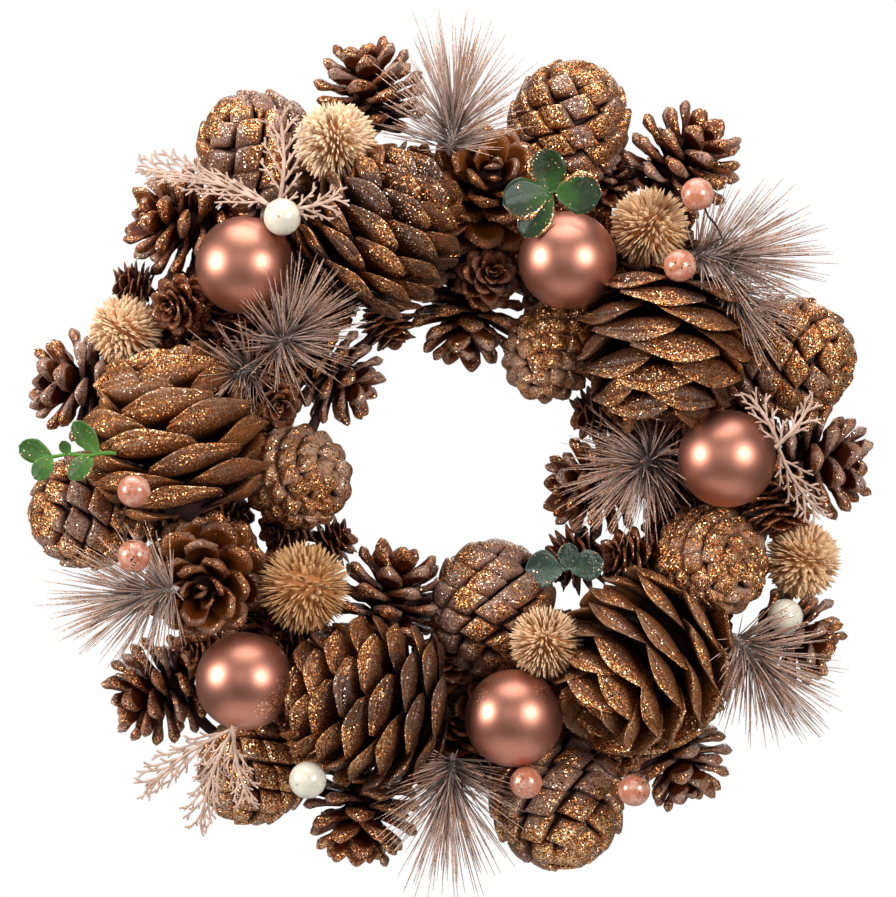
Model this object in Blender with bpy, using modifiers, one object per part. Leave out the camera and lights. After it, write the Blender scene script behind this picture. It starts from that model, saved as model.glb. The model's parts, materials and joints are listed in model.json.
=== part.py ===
"""Christmas wreath of cones, baubles, dried flower heads, needles and leaves on a straw ring.

The wreath hangs on a hook under the inner edge of its ring. The origin is that point, +Z is up, the viewer
stands at -Y and the flat back of the ring faces +Y, against the door. Lengths are in millimetres until a mesh
is written. A place in the wreath is given by x and z from the ring's centre and by how far it stands out
towards the viewer from the ring's middle plane.
"""

import math
from collections import namedtuple

import bmesh
import bpy
from mathutils import Matrix, Vector
from mathutils.bvhtree import BVHTree

MM = 0.001
GOLDEN_ANGLE = math.pi * (3 - math.sqrt(5))

# The ring: half-round pressed straw, flat at the back.
RING_INNER_RADIUS = 88
RING_OUTER_RADIUS = 122
RING_BACK = -10
RING_FRONT = 11
RING_EDGE = 8
RING_STEPS = 32
RING_CENTRE = Vector((0, 0, -RING_INNER_RADIUS))

# Nothing lies closer to its neighbour than this.
GAP = 0.35

# A scale is never cut shorter than this share of its length, which is what a piece needs to stand clear.
CORE_SHARE = 0.25

BAUBLE_RADIUS = 20
PEARL_RADIUS = 8
BERRY_RADIUS = 6.6
WIRE_RADIUS = 0.9
TWIG_RADIUS = 2.2

# clock is the tip's direction in the wreath's plane, 0 to the right and 90 up; lean is towards the viewer.
Place = namedtuple("Place", "x z out clock lean spin size")

# A cone is a core with one raised scale for each turn of the golden angle. Each triple is the value at the
# base, in the middle and at the tip. tilt is the scale's angle from the cone's axis, in degrees.
ConeKind = namedtuple(
    "ConeKind", "core_length core_radius count tilt length width thick slant bulge"
)
LARGE = ConeKind(58, 14, 36, (84, 56, 16), (19, 22, 15), (31, 34, 17), (8, 11, 7), 0.9, 1.6)
OPEN = ConeKind(29, 7, 23, (108, 70, 16), (12, 15.5, 10.5), (9, 11.5, 6.5), (4.5, 5.5, 4), 0.5, 0)
ROOFED = ConeKind(30, 11, 26, (96, 62, 22), (9, 11.5, 9), (14, 15, 9), (3.5, 4, 3.5), 0.8, 0)
CLOSED = ConeKind(40, 15.5, 30, (90, 70, 25), (3.6, 4.2, 3.6), None, None, 0, 0)
LARCH = ConeKind(14, 3.4, 18, (98, 62, 16), (8, 9.5, 6.5), (8, 9.5, 5), None, 0, 0)

BAUBLES = {
    "bauble_01": Place(-84, 78, 56, 0, 0, 0, 1),
    "bauble_02": Place(48, 80, 57, 0, 0, 0, 1),
    "bauble_03": Place(113, -1, 57, 0, 0, 0, 1),
    "bauble_04": Place(-84, -92, 56, 0, 0, 0, 1),
    "bauble_05": Place(26, -107, 57, 0, 0, 0, 1),
}

LARGE_CONES = {
    "large_cone_top": Place(-26, 95, 47, 54, 6, 20, 0.95),
    "large_cone_left": Place(-114, 12, 46, 100, 4, 60, 1.08),
    "large_cone_lower_left": Place(-36, -101, 46, 172, 4, 10, 1.0),
    "large_cone_right": Place(88, 43, 48, -92, 8, 200, 1.0),
    "large_cone_lower_right": Place(77, -87, 47, -135, 24, 120, 1.04),
}

# Spiky cream heads: x, z, out and size, which is the radius over the spikes.
DRIED_FLOWERS = {
    "dried_flower_01": Place(-47, 129, 46, 100, 35, 0, 17),
    "dried_flower_02": Place(82, 94, 48, 60, 60, 0, 16.5),
    "dried_flower_03": Place(-135, 52, 26, 150, 45, 0, 15.5),
    "dried_flower_04": Place(-60, -54, 46, 20, 60, 0, 19),
    "dried_flower_05": Place(39, -76, 58, 100, 70, 0, 15),
    "dried_flower_06": Place(146, -43, 32, -10, 40, 0, 16),
}
FLOWER_CORE = 0.7
FLOWER_SPIKES = 46

# Pine cones that stand alone, and those that grow together on one twig.
PINE_CONES = {
    "pine_cone_top_inside": [(OPEN, Place(15, 111, 34, 70, 62, 0, 1.28))],
    "pine_cones_inner_top": [
        (CLOSED, Place(42, 43, 28, -128, 30, 0, 0.98)),
        (OPEN, Place(7, 57, 16, -96, 8, 40, 1.08)),
    ],
    "pine_cone_closed_right": [(CLOSED, Place(109, -44, 40, -50, 62, 0, 1.1))],
    "pine_cone_rosette_left": [(OPEN, Place(-101, -51, 38, -100, 70, 30, 1.22))],
    "pine_cone_inner_right": [(OPEN, Place(58, -13, 16, 186, 10, 0, 1.0))],
    "pine_cone_outer_right": [(OPEN, Place(145, -76, 18, -32, 6, 0, 1.0))],
    "pine_cones_upper_left": [
        (OPEN, Place(-34, 154, 18, 102, 8, 0, 1.08)),
        (ROOFED, Place(-78, 124, 22, -50, -20, 90, 1.15)),
        (OPEN, Place(-114, 97, 18, 168, 18, 40, 1.12)),
    ],
    "pine_cones_upper_right": [
        (ROOFED, Place(49, 137, 22, -112, -14, 30, 1.1)),
        (OPEN, Place(64, 117, 14, 60, 50, 10, 0.7)),
        (OPEN, Place(99, 125, 20, 48, 14, 70, 1.12)),
    ],
    "pine_cones_right": [
        (ROOFED, Place(140, 41, 24, 176, -20, 0, 1.12)),
        (OPEN, Place(155, -3, 18, -4, 4, 50, 1.16)),
    ],
    "pine_cones_bottom_right": [
        (OPEN, Place(96, -128, 16, -74, 6, 20, 1.02)),
        (ROOFED, Place(44, -141, 22, 105, -20, 0, 1.24)),
    ],
    "pine_cones_bottom_left": [
        (OPEN, Place(-37, -151, 18, -98, 6, 0, 1.1)),
        (ROOFED, Place(-80, -129, 20, 42, -20, 0, 1.02)),
        (OPEN, Place(-124, -99, 18, 202, 6, 30, 1.05)),
    ],
    "pine_cones_left": [
        (OPEN, Place(-156, 30, 16, 174, 2, 0, 1.08)),
        (ROOFED, Place(-147, -22, 22, 18, -18, 30, 1.08)),
    ],
    "pine_cones_inner_left": [
        (LARCH, Place(-25, 53, 14, -70, 10, 0, 1.1)),
        (OPEN, Place(-46, 32, 16, -34, 8, 20, 0.95)),
        (CLOSED, Place(-64, -9, 28, -24, 50, 0, 1.06)),
    ],
    "pine_cones_inner_bottom": [
        (OPEN, Place(-24, -57, 16, 76, 8, 0, 1.12)),
        (ROOFED, Place(18, -64, 20, -92, 16, 0, 1.14)),
    ],
}

LARCH_CONES = {
    "larch_cones_upper_left": [
        Place(-134, 71, 22, 172, 6, 0, 0.95),
        Place(-113, 62, 36, 200, 50, 0, 1.1),
    ],
    "larch_cone_top": [Place(16, 74, 34, 40, 64, 0, 1.1)],
    "larch_cone_inner_left": [Place(-73, 22, 30, -40, 56, 0, 1.1)],
    "larch_cones_inner_lower_left": [
        Place(-47, -35, 14, 24, 10, 0, 0.95),
        Place(-70, -30, 24, 200, 40, 0, 0.95),
    ],
    "larch_cone_lower_left": [Place(-107, -81, 30, 190, 56, 0, 0.95)],
    "larch_cone_bottom": [Place(-1, -85, 20, 80, 76, 0, 1.3)],
    "larch_cones_inner_right": [
        Place(72, -43, 26, 176, 26, 0, 1.2),
        Place(50, -44, 14, 200, 10, 0, 1.3),
    ],
    "larch_cone_right": [Place(136, -24, 34, -84, 16, 0, 1.3)],
    "larch_cone_inner_upper_right": [Place(59, 17, 22, 184, 10, 0, 1.15)],
    "larch_cone_lower_right": [Place(70, -122, 26, -110, 62, 0, 1.1)],
}

PEARLS = {
    "pearl_01": Place(-68, 97, 0, 0, 0, 0, 1),
    "pearl_02": Place(-58, -132, 0, 0, 0, 0, 1),
    "pearl_03": Place(138, -66, 0, 0, 0, 0, 0.95),
}

# Each pick is two berries on wires that meet at a foot: berry, berry, foot, as x and z.
BERRY_PICKS = {
    "berry_pick_upper_right": ((100, 106), (93, 77), (110, 89)),
    "berry_pick_left": ((-127, -14), (-127, -40), (-133, -27)),
    "berry_pick_bottom": ((31, -133), (75, -136), (54, -121)),
}

NEEDLE_TUFTS = {
    "needle_tuft_top": Place(0, 124, 40, 84, 8, 0, 1.12),
    "needle_tuft_inner_left": Place(-72, 44, 46, 45, 46, 0, 1.0),
    "needle_tuft_right": Place(97, 80, 46, -2, 10, 0, 1.1),
    "needle_tuft_inner_right": Place(86, 2, 32, -140, 46, 0, 1.05),
    "needle_tuft_left": Place(-112, -54, 52, 192, 4, 0, 1.0),
    "needle_tuft_lower_right": Place(112, -71, 50, -50, 8, 0, 0.98),
    "needle_tuft_bottom": Place(1, -124, 44, -95, 14, 0, 1.14),
}
NEEDLE_LENGTH = (27, 35, 38)
NEEDLE_TILT = (88, 50, 6)
NEEDLES = 44
TUFT_CORE_LENGTH = 20
TUFT_CORE_RADIUS = 1.9

# Frosted cedar: each frond is its foot, its heading and its length, with side twigs in pairs.
Frond = namedtuple("Frond", "x z clock lean length twigs")
CEDAR_SPRAYS = {
    "cedar_spray_upper_left": [
        Frond(-70, 100, 162, -22, 60, 6),
        Frond(-70, 100, 88, -18, 41, 4),
        Frond(-70, 100, 10, 0, 30, 3),
    ],
    "cedar_spray_right": [
        Frond(133, 5, -58, -20, 38, 5),
        Frond(133, 5, 120, 0, 25, 3),
        Frond(133, 5, 50, -10, 25, 3),
    ],
    "cedar_spray_lower_left": [
        Frond(-88, -106, 216, -15, 50, 5),
        Frond(-88, -106, 250, -15, 48, 4),
        Frond(-88, -106, 282, -10, 38, 3),
    ],
}
CEDAR_THICKNESS = 1.2

# Leaves: each leaf is its clock direction, its foot's distance along the stem and its length and width.
Leaf = namedtuple("Leaf", "clock foot length width")
LeafSprig = namedtuple("LeafSprig", "x z clock stem leaves")
LEAF_SPRIGS = {
    "leaf_sprig_top": LeafSprig(
        40, 107, 0, 3,
        (Leaf(98, 0.2, 18, 16), Leaf(196, 0, 20, 18), Leaf(-2, 0.8, 20, 18), Leaf(238, 0.4, 22, 14)),
    ),
    "leaf_sprig_left": LeafSprig(
        -137, 1, 182, 24,
        (Leaf(128, 0.2, 17, 9), Leaf(228, 0.3, 14, 9), Leaf(118, 0.7, 7, 5), Leaf(164, 1, 14, 10),
         Leaf(236, 1, 12, 9)),
    ),
    "leaf_sprig_inner": LeafSprig(
        47, -47, 0, 3,
        (Leaf(178, 0, 16, 16), Leaf(14, 0.8, 15, 13), Leaf(84, 0.4, 12, 9)),
    ),
}
LEAF_THICKNESS = 0.9

FINISHES = {
    "straw": ((0.22, 0.13, 0.06), 0.9, 0),
    "broad_cone_wood": ((0.29, 0.15, 0.06), 0.7, 0),
    "pine_cone_wood": ((0.17, 0.07, 0.03), 0.65, 0),
    "larch_cone_wood": ((0.09, 0.035, 0.015), 0.7, 0),
    "rose_gold": ((0.62, 0.3, 0.21), 0.35, 1),
    "dried_bloom": ((0.68, 0.46, 0.22), 0.9, 0),
    "pearl": ((0.82, 0.78, 0.7), 0.25, 0),
    "berry_lacquer": ((0.68, 0.28, 0.19), 0.3, 0),
    "frosted_needle": ((0.4, 0.31, 0.28), 0.8, 0),
    "frosted_cedar": ((0.6, 0.45, 0.34), 0.85, 0),
    "leaf_green": ((0.05, 0.12, 0.04), 0.55, 0),
}

Obstacle = namedtuple("Obstacle", "tree low high")
obstacles = []


def clear_scene():
    for old in list(bpy.data.objects):
        bpy.data.objects.remove(old)


def finish_of(name):
    """The Principled material of this finish, made once."""
    if name in bpy.data.materials:
        return bpy.data.materials[name]
    colour, roughness, metallic = FINISHES[name]
    material = bpy.data.materials.new(name)
    material.use_nodes = True
    shader = material.node_tree.nodes["Principled BSDF"]
    shader.inputs["Base Color"].default_value = (*colour, 1)
    shader.inputs["Roughness"].default_value = roughness
    shader.inputs["Metallic"].default_value = metallic
    return material


def between(values, share):
    """The value at this share of the way through a triple that gives the start, the middle and the end."""
    start, middle, end = values
    if share < 0.5:
        return start + (middle - start) * share * 2
    return middle + (end - middle) * (share * 2 - 1)


def heading(clock, lean):
    """Unit vector at this clock angle in the wreath's plane, leaning towards the viewer."""
    clock, lean = math.radians(clock), math.radians(lean)
    return Vector((math.cos(clock) * math.cos(lean), -math.sin(lean), math.sin(clock) * math.cos(lean)))


def position(x, z, out):
    return RING_CENTRE + Vector((x, -out, z))


def stance(place, out=None):
    """The matrix that stands a piece made along +Z at its place, with its tip along the place's heading."""
    out = place.out if out is None else out
    turn = heading(place.clock, place.lean).to_track_quat("Z", "Y").to_matrix().to_4x4()
    spin = Matrix.Rotation(math.radians(place.spin), 4, "Z")
    return Matrix.Translation(position(place.x, place.z, out)) @ turn @ spin


def tree_of(points, faces):
    return BVHTree.FromPolygons(points, faces)


def remember(points, faces):
    """Adds a finished piece, in the wreath's frame, to what later pieces have to clear."""
    low = Vector([min(p[i] for p in points) for i in range(3)])
    high = Vector([max(p[i] for p in points) for i in range(3)])
    obstacles.append(Obstacle(tree_of(points, faces), low, high))


def is_clear(points, faces, among=None):
    """True if this shape touches none of these finished pieces, or of all, and stays in front of the door."""
    low = [min(p[i] for p in points) for i in range(3)]
    high = [max(p[i] for p in points) for i in range(3)]
    if high[1] > -RING_BACK - GAP:
        return False
    near = [
        o.tree
        for o in (obstacles if among is None else among)
        if all(low[i] <= o.high[i] and high[i] >= o.low[i] for i in range(3))
    ]
    if not near:
        return True
    tree = tree_of(points, faces)
    return not any(tree.overlap(other) for other in near)


def cells_touching(points, faces, body):
    """The numbers of the body's cells that run into a finished piece."""
    tree = tree_of(points, faces)
    per_cell = body.faces_per_cell
    hits = set()
    for other in obstacles:
        for face, _ in tree.overlap(other.tree):
            hits.add(min(face // per_cell, body.count - 1))
    return hits


def swollen(points, faces, by=GAP):
    """The points of a closed shape moved out along its normals by the gap."""
    normals = [Vector() for _ in points]
    volume = 0
    for face in faces:
        a, b, c = (points[i] for i in face)
        normal = (b - a).cross(c - a)
        volume += a.dot(normal)
        for i in face:
            normals[i] += normal
    by = by if volume > 0 else -by
    return [p + normal.normalized() * by for p, normal in zip(points, normals)]


def write_object(name, points, faces, finish, matrix=None):
    """One object from points in millimetres, closed, with its faces turned out."""
    mesh = bpy.data.meshes.new(name)
    shape = bmesh.new()
    corners = [shape.verts.new(Vector(p) * MM) for p in points]
    for face in faces:
        shape.faces.new([corners[i] for i in face])
    bmesh.ops.recalc_face_normals(shape, faces=shape.faces)
    shape.to_mesh(mesh)
    shape.free()
    mesh.materials.append(finish_of(finish))
    thing = bpy.data.objects.new(name, mesh)
    if matrix is not None:
        place = matrix.copy()
        place.translation *= MM
        thing.matrix_world = place
    wreath.objects.link(thing)
    return thing


def triangles_in_place(thing):
    """The evaluated object as points in millimetres and triangles, both in the wreath's frame."""
    bpy.context.view_layer.update()
    evaluated = thing.evaluated_get(bpy.context.evaluated_depsgraph_get())
    mesh = evaluated.to_mesh()
    mesh.calc_loop_triangles()
    points = [(evaluated.matrix_world @ v.co) / MM for v in mesh.vertices]
    faces = [tuple(t.vertices) for t in mesh.loop_triangles]
    evaluated.to_mesh_clear()
    return points, faces


def joined(name, pieces):
    """Unites closed objects that overlap into the first of them, and removes the others."""
    helpers = bpy.data.collections.new(name + "_pieces")
    bpy.context.scene.collection.children.link(helpers)
    whole = pieces[0]
    for piece in pieces[1:]:
        wreath.objects.unlink(piece)
        helpers.objects.link(piece)
    union = whole.modifiers.new("union", "BOOLEAN")
    union.operation = "UNION"
    union.operand_type = "COLLECTION"
    union.collection = helpers
    union.solver = "EXACT"
    bpy.context.view_layer.update()
    whole_mesh = bpy.data.meshes.new_from_object(whole.evaluated_get(bpy.context.evaluated_depsgraph_get()))
    whole.modifiers.clear()
    whole.data = whole_mesh
    for piece in list(helpers.objects):
        bpy.data.objects.remove(piece)
    bpy.data.collections.remove(helpers)
    whole.name = name
    return whole


def tube(name, route, radius, finish):
    """A round rod through these points, closed at both ends, as a mesh object."""
    curve = bpy.data.curves.new(name, "CURVE")
    curve.dimensions = "3D"
    curve.bevel_depth = radius * MM
    curve.bevel_resolution = 0
    curve.use_fill_caps = True
    spline = curve.splines.new("POLY")
    spline.points.add(len(route) - 1)
    for point, place in zip(spline.points, route):
        point.co = (*(Vector(place) * MM), 1)
    guide = bpy.data.objects.new(name + "_guide", curve)
    wreath.objects.link(guide)
    bpy.context.view_layer.update()
    evaluated = guide.evaluated_get(bpy.context.evaluated_depsgraph_get())
    mesh = bpy.data.meshes.new_from_object(evaluated)
    shape = bmesh.new()
    shape.from_mesh(mesh)
    bmesh.ops.remove_doubles(shape, verts=shape.verts, dist=0.00001)
    bmesh.ops.recalc_face_normals(shape, faces=shape.faces)
    shape.to_mesh(mesh)
    shape.free()
    mesh.materials.clear()
    mesh.materials.append(finish_of(finish))
    rod = bpy.data.objects.new(name, mesh)
    wreath.objects.link(rod)
    bpy.data.objects.remove(guide)
    return rod


class SpiralBody:
    """A core covered by cells in golden-angle spirals, each raised into a scale, a spike or a needle.

    Cell k lies between corners k-high, k+side, k+high and k-side of the spiral that runs half a turn
    behind the cells, so the cells share their edges and the whole is one closed surface.
    """

    def __init__(self, core_length, core_radius, count, families=(3, 5)):
        self.count = count
        self.high = sum(families) / 2
        self.side = (families[1] - families[0]) / 2
        self.core_length = core_length
        self.core_radius = core_radius
        self.held_by_foot = False
        self.tips = []

    def share(self, index):
        return (index + self.high + 0.5) / (self.count + 2 * self.high)

    def on_core(self, index, angle):
        along = self.share(index)
        radius = self.core_radius * (1 - abs(2 * along - 1) ** 2.4) ** 0.5
        return Vector((radius * math.cos(angle), radius * math.sin(angle), self.core_length * along))

    def corner(self, index):
        return self.on_core(index, index * GOLDEN_ANGLE - math.pi)

    def centre(self, cell):
        return self.on_core(cell, cell * GOLDEN_ANGLE)

    def corners_of(self, cell):
        return (cell - self.high, cell + self.side, cell + self.high, cell - self.side)

    def axes(self, cell, tilt):
        """The cell's outward direction at this tilt, the one round the core and the one up the scale."""
        angle = cell * GOLDEN_ANGLE
        radial = Vector((math.cos(angle), math.sin(angle), 0))
        around = Vector((-math.sin(angle), math.cos(angle), 0))
        if (self.corner(cell + self.side) - self.centre(cell)).dot(around) < 0:
            around = -around
        tilt = math.radians(tilt)
        outward = radial * math.sin(tilt) + Vector((0, 0, math.cos(tilt)))
        upward = Vector((0, 0, math.sin(tilt))) - radial * math.cos(tilt)
        return outward, around, upward

    def cell_faces(self, corners, tips, bulge=None):
        """Faces from a cell's four corner indices to its one, two or four tip indices."""
        faces = []
        if len(tips) == 1:
            return [(corners[i], corners[(i + 1) % 4], tips[0]) for i in range(4)]
        if len(tips) == 2:
            low, right, top, left = corners
            far_right, far_left = tips
            return [
                (left, low, far_left), (low, far_right, far_left), (low, right, far_right),
                (right, top, far_right), (top, far_left, far_right), (top, left, far_left),
            ]
        for i in range(4):
            j = (i + 1) % 4
            faces += [(corners[i], corners[j], tips[j]), (corners[i], tips[j], tips[i])]
        if bulge is None:
            return faces + [(tips[0], tips[1], tips[3]), (tips[1], tips[2], tips[3])]
        return faces + [(tips[i], tips[(i + 1) % 4], bulge) for i in range(4)]

    def probe(self, cell, reach, matrix, slim=False):
        """A slightly swollen copy of one raised cell, in the wreath's frame."""
        base = self.centre(cell)
        tips = [base + (tip - base) * reach for tip in self.tips[cell]]
        corners = [self.corner(i) for i in self.corners_of(cell)]
        if slim:
            corners = [base + (c - base).normalized() * 0.6 for c in corners]
            tips = [tips[0] + (c - base) + (tips[0] - base).normalized() * GAP for c in corners]
        else:
            middle = sum(tips, Vector()) / len(tips)
            onward = (middle - base).normalized() * GAP
            tips = [t + (t - middle).normalized() * GAP * 1.5 + onward for t in tips]
        points = [matrix @ p for p in corners + tips]
        if len(tips) == 4:
            return points, self.cell_faces((0, 1, 2, 3), (4, 5, 6, 7))
        return points, self.cell_faces((0, 1, 2, 3), tuple(range(4, 4 + len(tips))))

    def reach_of(self, matrix, shortest=CORE_SHARE, step=0.02, slim=False):
        """How much of its full length each scale keeps, cut short where it would run into a neighbour."""
        kept = []
        for cell in range(self.count):
            reach = 1.0
            while reach > shortest and not is_clear(*self.probe(cell, reach, matrix, slim)):
                reach -= step
            kept.append(max(reach, shortest))
        return kept

    def shell(self, kept, bulge=0):
        """Points and triangles of the whole body, with each scale at its kept length."""
        index, points, faces = {}, [], []
        for cell in range(self.count):
            for corner in self.corners_of(cell):
                if corner not in index:
                    index[corner] = len(points)
                    points.append(self.corner(corner))
        for cell in range(self.count):
            base = self.centre(cell)
            tips = [base + (tip - base) * kept[cell] for tip in self.tips[cell]]
            first = len(points)
            points += tips
            middle = None
            if bulge:
                middle = len(points)
                heart = sum(tips, Vector()) / len(tips)
                points.append(heart + (heart - base).normalized() * bulge * kept[cell])
            corners = [index[c] for c in self.corners_of(cell)]
            faces += self.cell_faces(corners, tuple(range(first, first + len(tips))), middle)
        self.faces_per_cell = len(faces) // self.count
        return points, faces + self.caps(faces)

    def caps(self, faces):
        """Fans that close the two open ends."""
        edges = {(a, b) for face in faces for a, b in zip(face, face[1:] + face[:1])}
        ahead = {b: a for a, b in sorted(edges) if (b, a) not in edges}
        found = []
        while ahead:
            loop = [next(iter(ahead))]
            while ahead[loop[-1]] != loop[0]:
                loop.append(ahead.pop(loop[-1]))
            del ahead[loop[-1]]
            found += [(loop[0], loop[i], loop[i + 1]) for i in range(1, len(loop) - 1)]
        return found


def scale_tips(body, kind, cell):
    """The raised end of one cone scale, in the body's own frame."""
    share = body.share(cell)
    outward, around, upward = body.axes(cell, between(kind.tilt, share))
    end = body.centre(cell) + outward * between(kind.length, share)
    if kind.width is None:
        corners = [body.corner(i) for i in body.corners_of(cell)]
        lift = body.centre(cell) + outward * between(kind.length, share)
        return [lift + (c - body.centre(cell)) * 0.8 for c in corners]
    half_width = between(kind.width, share) / 2
    sweep = around * half_width - outward * half_width * 0.25
    back_sweep = -around * half_width - outward * half_width * 0.25
    if kind.thick is None:
        return [end + sweep, end + back_sweep]
    half_thick = between(kind.thick, share) / 2
    rise = upward * half_thick + outward * half_thick * kind.slant
    return [end - rise, end + sweep, end + rise, end + back_sweep]


def cone_body(kind, size):
    body = SpiralBody(kind.core_length * size, kind.core_radius * size, kind.count)
    plain = SpiralBody(kind.core_length, kind.core_radius, kind.count)
    body.tips = [[tip * size for tip in scale_tips(plain, kind, cell)] for cell in range(kind.count)]
    return body


def centred(matrix, body):
    """Moves a body made from z = 0 upwards so that its place is midway between its first and its last tips.

    A tuft is held by its foot instead."""
    if body.held_by_foot:
        return matrix
    heights = [tip.z for cell in body.tips for tip in cell]
    return matrix @ Matrix.Translation((0, 0, -(min(heights) + max(heights)) / 2))


def settle(name, place, body, bulge=0):
    """Stands a body at its place, or as near to it as its core is clear, in depth first and then sideways."""
    points, faces = body.shell([CORE_SHARE] * body.count, bulge)
    inward = Vector((-place.x, 0, -place.z)).normalized()
    trials = []
    for step in range(33):
        for depth in (step * 0.75, -step * 0.75):
            for slide in range(-6, 7):
                trials.append((abs(depth) + 2 * abs(slide), depth, slide))
    for _, depth, slide in sorted(trials, key=lambda trial: trial[0]):
        matrix = Matrix.Translation(inward * slide) @ centred(stance(place, place.out + depth), body)
        if is_clear(swollen([matrix @ p for p in points], faces), faces):
            if abs(depth) + abs(slide) > 2:
                print(f"{name}: moved {depth} out and {slide} inwards")
            return matrix
    raise ValueError(f"{name} has no clear place")


def make_scaled(name, place, body, finish, bulge=0, slim=False):
    matrix = settle(name, place, body, bulge)
    kept = body.reach_of(matrix, slim=slim)
    points, faces = body.shell(kept, bulge)
    for _ in range(40):
        placed = [matrix @ p for p in points]
        touching = cells_touching(swollen(placed, faces, GAP / 2), faces, body)
        if not touching:
            break
        for cell in touching:
            kept[cell] *= 0.93
        points, faces = body.shell(kept, bulge)
    thing = write_object(name, points, faces, finish, matrix)
    remember([matrix @ p for p in points], faces)
    return thing, matrix


def make_ring():
    """The half-round straw ring: a D-shaped outline turned about the wreath's axis."""
    middle = (RING_INNER_RADIUS + RING_OUTER_RADIUS) / 2
    half = (RING_OUTER_RADIUS - RING_INNER_RADIUS) / 2
    rise = RING_FRONT - RING_BACK - RING_EDGE
    outline = [(middle - half, RING_BACK), (middle - half, RING_BACK + RING_EDGE)]
    for step in range(1, 4):
        angle = math.pi * step / 4
        radius = middle - half * math.cos(angle)
        outline.append((radius, RING_BACK + RING_EDGE + rise * math.sin(angle)))
    outline += [(middle + half, RING_BACK + RING_EDGE), (middle + half, RING_BACK)]
    mesh = bpy.data.meshes.new("straw_ring")
    mesh.from_pydata(
        [(radius * MM, -out * MM, 0) for radius, out in outline],
        [(i, (i + 1) % len(outline)) for i in range(len(outline))],
        [],
    )
    mesh.materials.append(finish_of("straw"))
    ring = bpy.data.objects.new("straw_ring", mesh)
    ring.location = RING_CENTRE * MM
    wreath.objects.link(ring)
    turn = ring.modifiers.new("turn", "SCREW")
    turn.axis = "Y"
    turn.steps = turn.render_steps = RING_STEPS
    turn.use_merge_vertices = True
    turn.merge_threshold = 0.00001
    turn.use_normal_flip = True
    remember(*triangles_in_place(ring))


def sphere(name, at, radius, finish, segments, rings):
    mesh = bpy.data.meshes.new(name)
    shape = bmesh.new()
    bmesh.ops.create_uvsphere(shape, u_segments=segments, v_segments=rings, radius=radius * MM)
    shape.to_mesh(mesh)
    shape.free()
    mesh.materials.append(finish_of(finish))
    mesh.shade_smooth()
    ball = bpy.data.objects.new(name, mesh)
    ball.location = at * MM
    wreath.objects.link(ball)
    return ball


def make_baubles():
    for name, place in BAUBLES.items():
        at = position(place.x, place.z, place.out)
        ball = sphere(name, at, BAUBLE_RADIUS * place.size, "rose_gold", 14, 8)
        remember(*triangles_in_place(ball))


def make_large_cones():
    for name, place in LARGE_CONES.items():
        make_scaled(name, place, cone_body(LARGE, place.size), "broad_cone_wood", LARGE.bulge)


def make_dried_flowers():
    for name, place in DRIED_FLOWERS.items():
        core = place.size * FLOWER_CORE
        body = SpiralBody(2 * core, core, FLOWER_SPIKES, (5, 8))
        middle = Vector((0, 0, core))
        body.tips = [
            [middle + (body.centre(cell) - middle).normalized() * place.size] for cell in range(body.count)
        ]
        make_scaled(name, place, body, "dried_bloom")


def make_cone_groups(groups, finish):
    """Cones that stand alone, and those that a twig joins from core to core."""
    for name, cones in groups.items():
        others = list(obstacles)
        pieces, hearts = [], []
        for number, (kind, place) in enumerate(cones):
            piece, matrix = make_scaled(f"{name}_{number}", place, cone_body(kind, place.size), finish)
            pieces.append(piece)
            hearts.append(matrix @ Vector((0, 0, kind.core_length * place.size / 2)))
        for start, end in zip(hearts, hearts[1:]):
            for bend in (0, 3, -3, 6, -6, 9, -9, 12, -12, 15, 18, 21, 24):
                middle = (start + end) / 2 + Vector((0, bend, 0))
                twig = tube(f"{name}_twig", [start, middle, end], TWIG_RADIUS, finish)
                points, faces = triangles_in_place(twig)
                if is_clear(swollen(points, faces), faces, others):
                    break
                bpy.data.objects.remove(twig)
            else:
                raise ValueError(f"{name} has no clear way for its twig")
            remember(points, faces)
            pieces.append(twig)
        if len(pieces) > 1:
            joined(name, pieces)
        else:
            pieces[0].name = name


def drop_back(things, start=130, stop=-5):
    """Slides finished objects back from the viewer together until they rest on what lies behind them."""
    shapes = [triangles_in_place(thing) for thing in things]
    shapes = [(swollen(points, faces), points, faces) for points, faces in shapes]

    def free(out):
        shift = Vector((0, -out, 0))
        return all(is_clear([p + shift for p in fat], faces) for fat, _, faces in shapes)

    out = start
    while out > stop and free(out - 1.5):
        out -= 1.5
    for _ in range(4):
        if free(out - 0.3):
            out -= 0.3
    shift = Vector((0, -out, 0))
    for thing, (_, points, faces) in zip(things, shapes):
        thing.location += shift * MM
        remember([p + shift for p in points], faces)
    return out


def make_pearls():
    for name, place in PEARLS.items():
        ball = sphere(name, position(place.x, place.z, 0), PEARL_RADIUS * place.size, "pearl", 10, 6)
        print(name, "rests at", drop_back([ball]))


def make_berry_picks():
    for name, (first, second, foot) in BERRY_PICKS.items():
        pieces = []
        for number, (x, z) in enumerate((first, second)):
            berry = sphere(f"{name}_{number}", position(x, z, 0), BERRY_RADIUS, "berry_lacquer", 10, 6)
            pieces.append(berry)
        route = [position(*first, 0), position(*foot, -4), position(*second, 0)]
        pieces.append(tube(f"{name}_wire", route, WIRE_RADIUS, "berry_lacquer"))
        print(name, "rests at", drop_back([joined(name, pieces)]))


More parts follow.
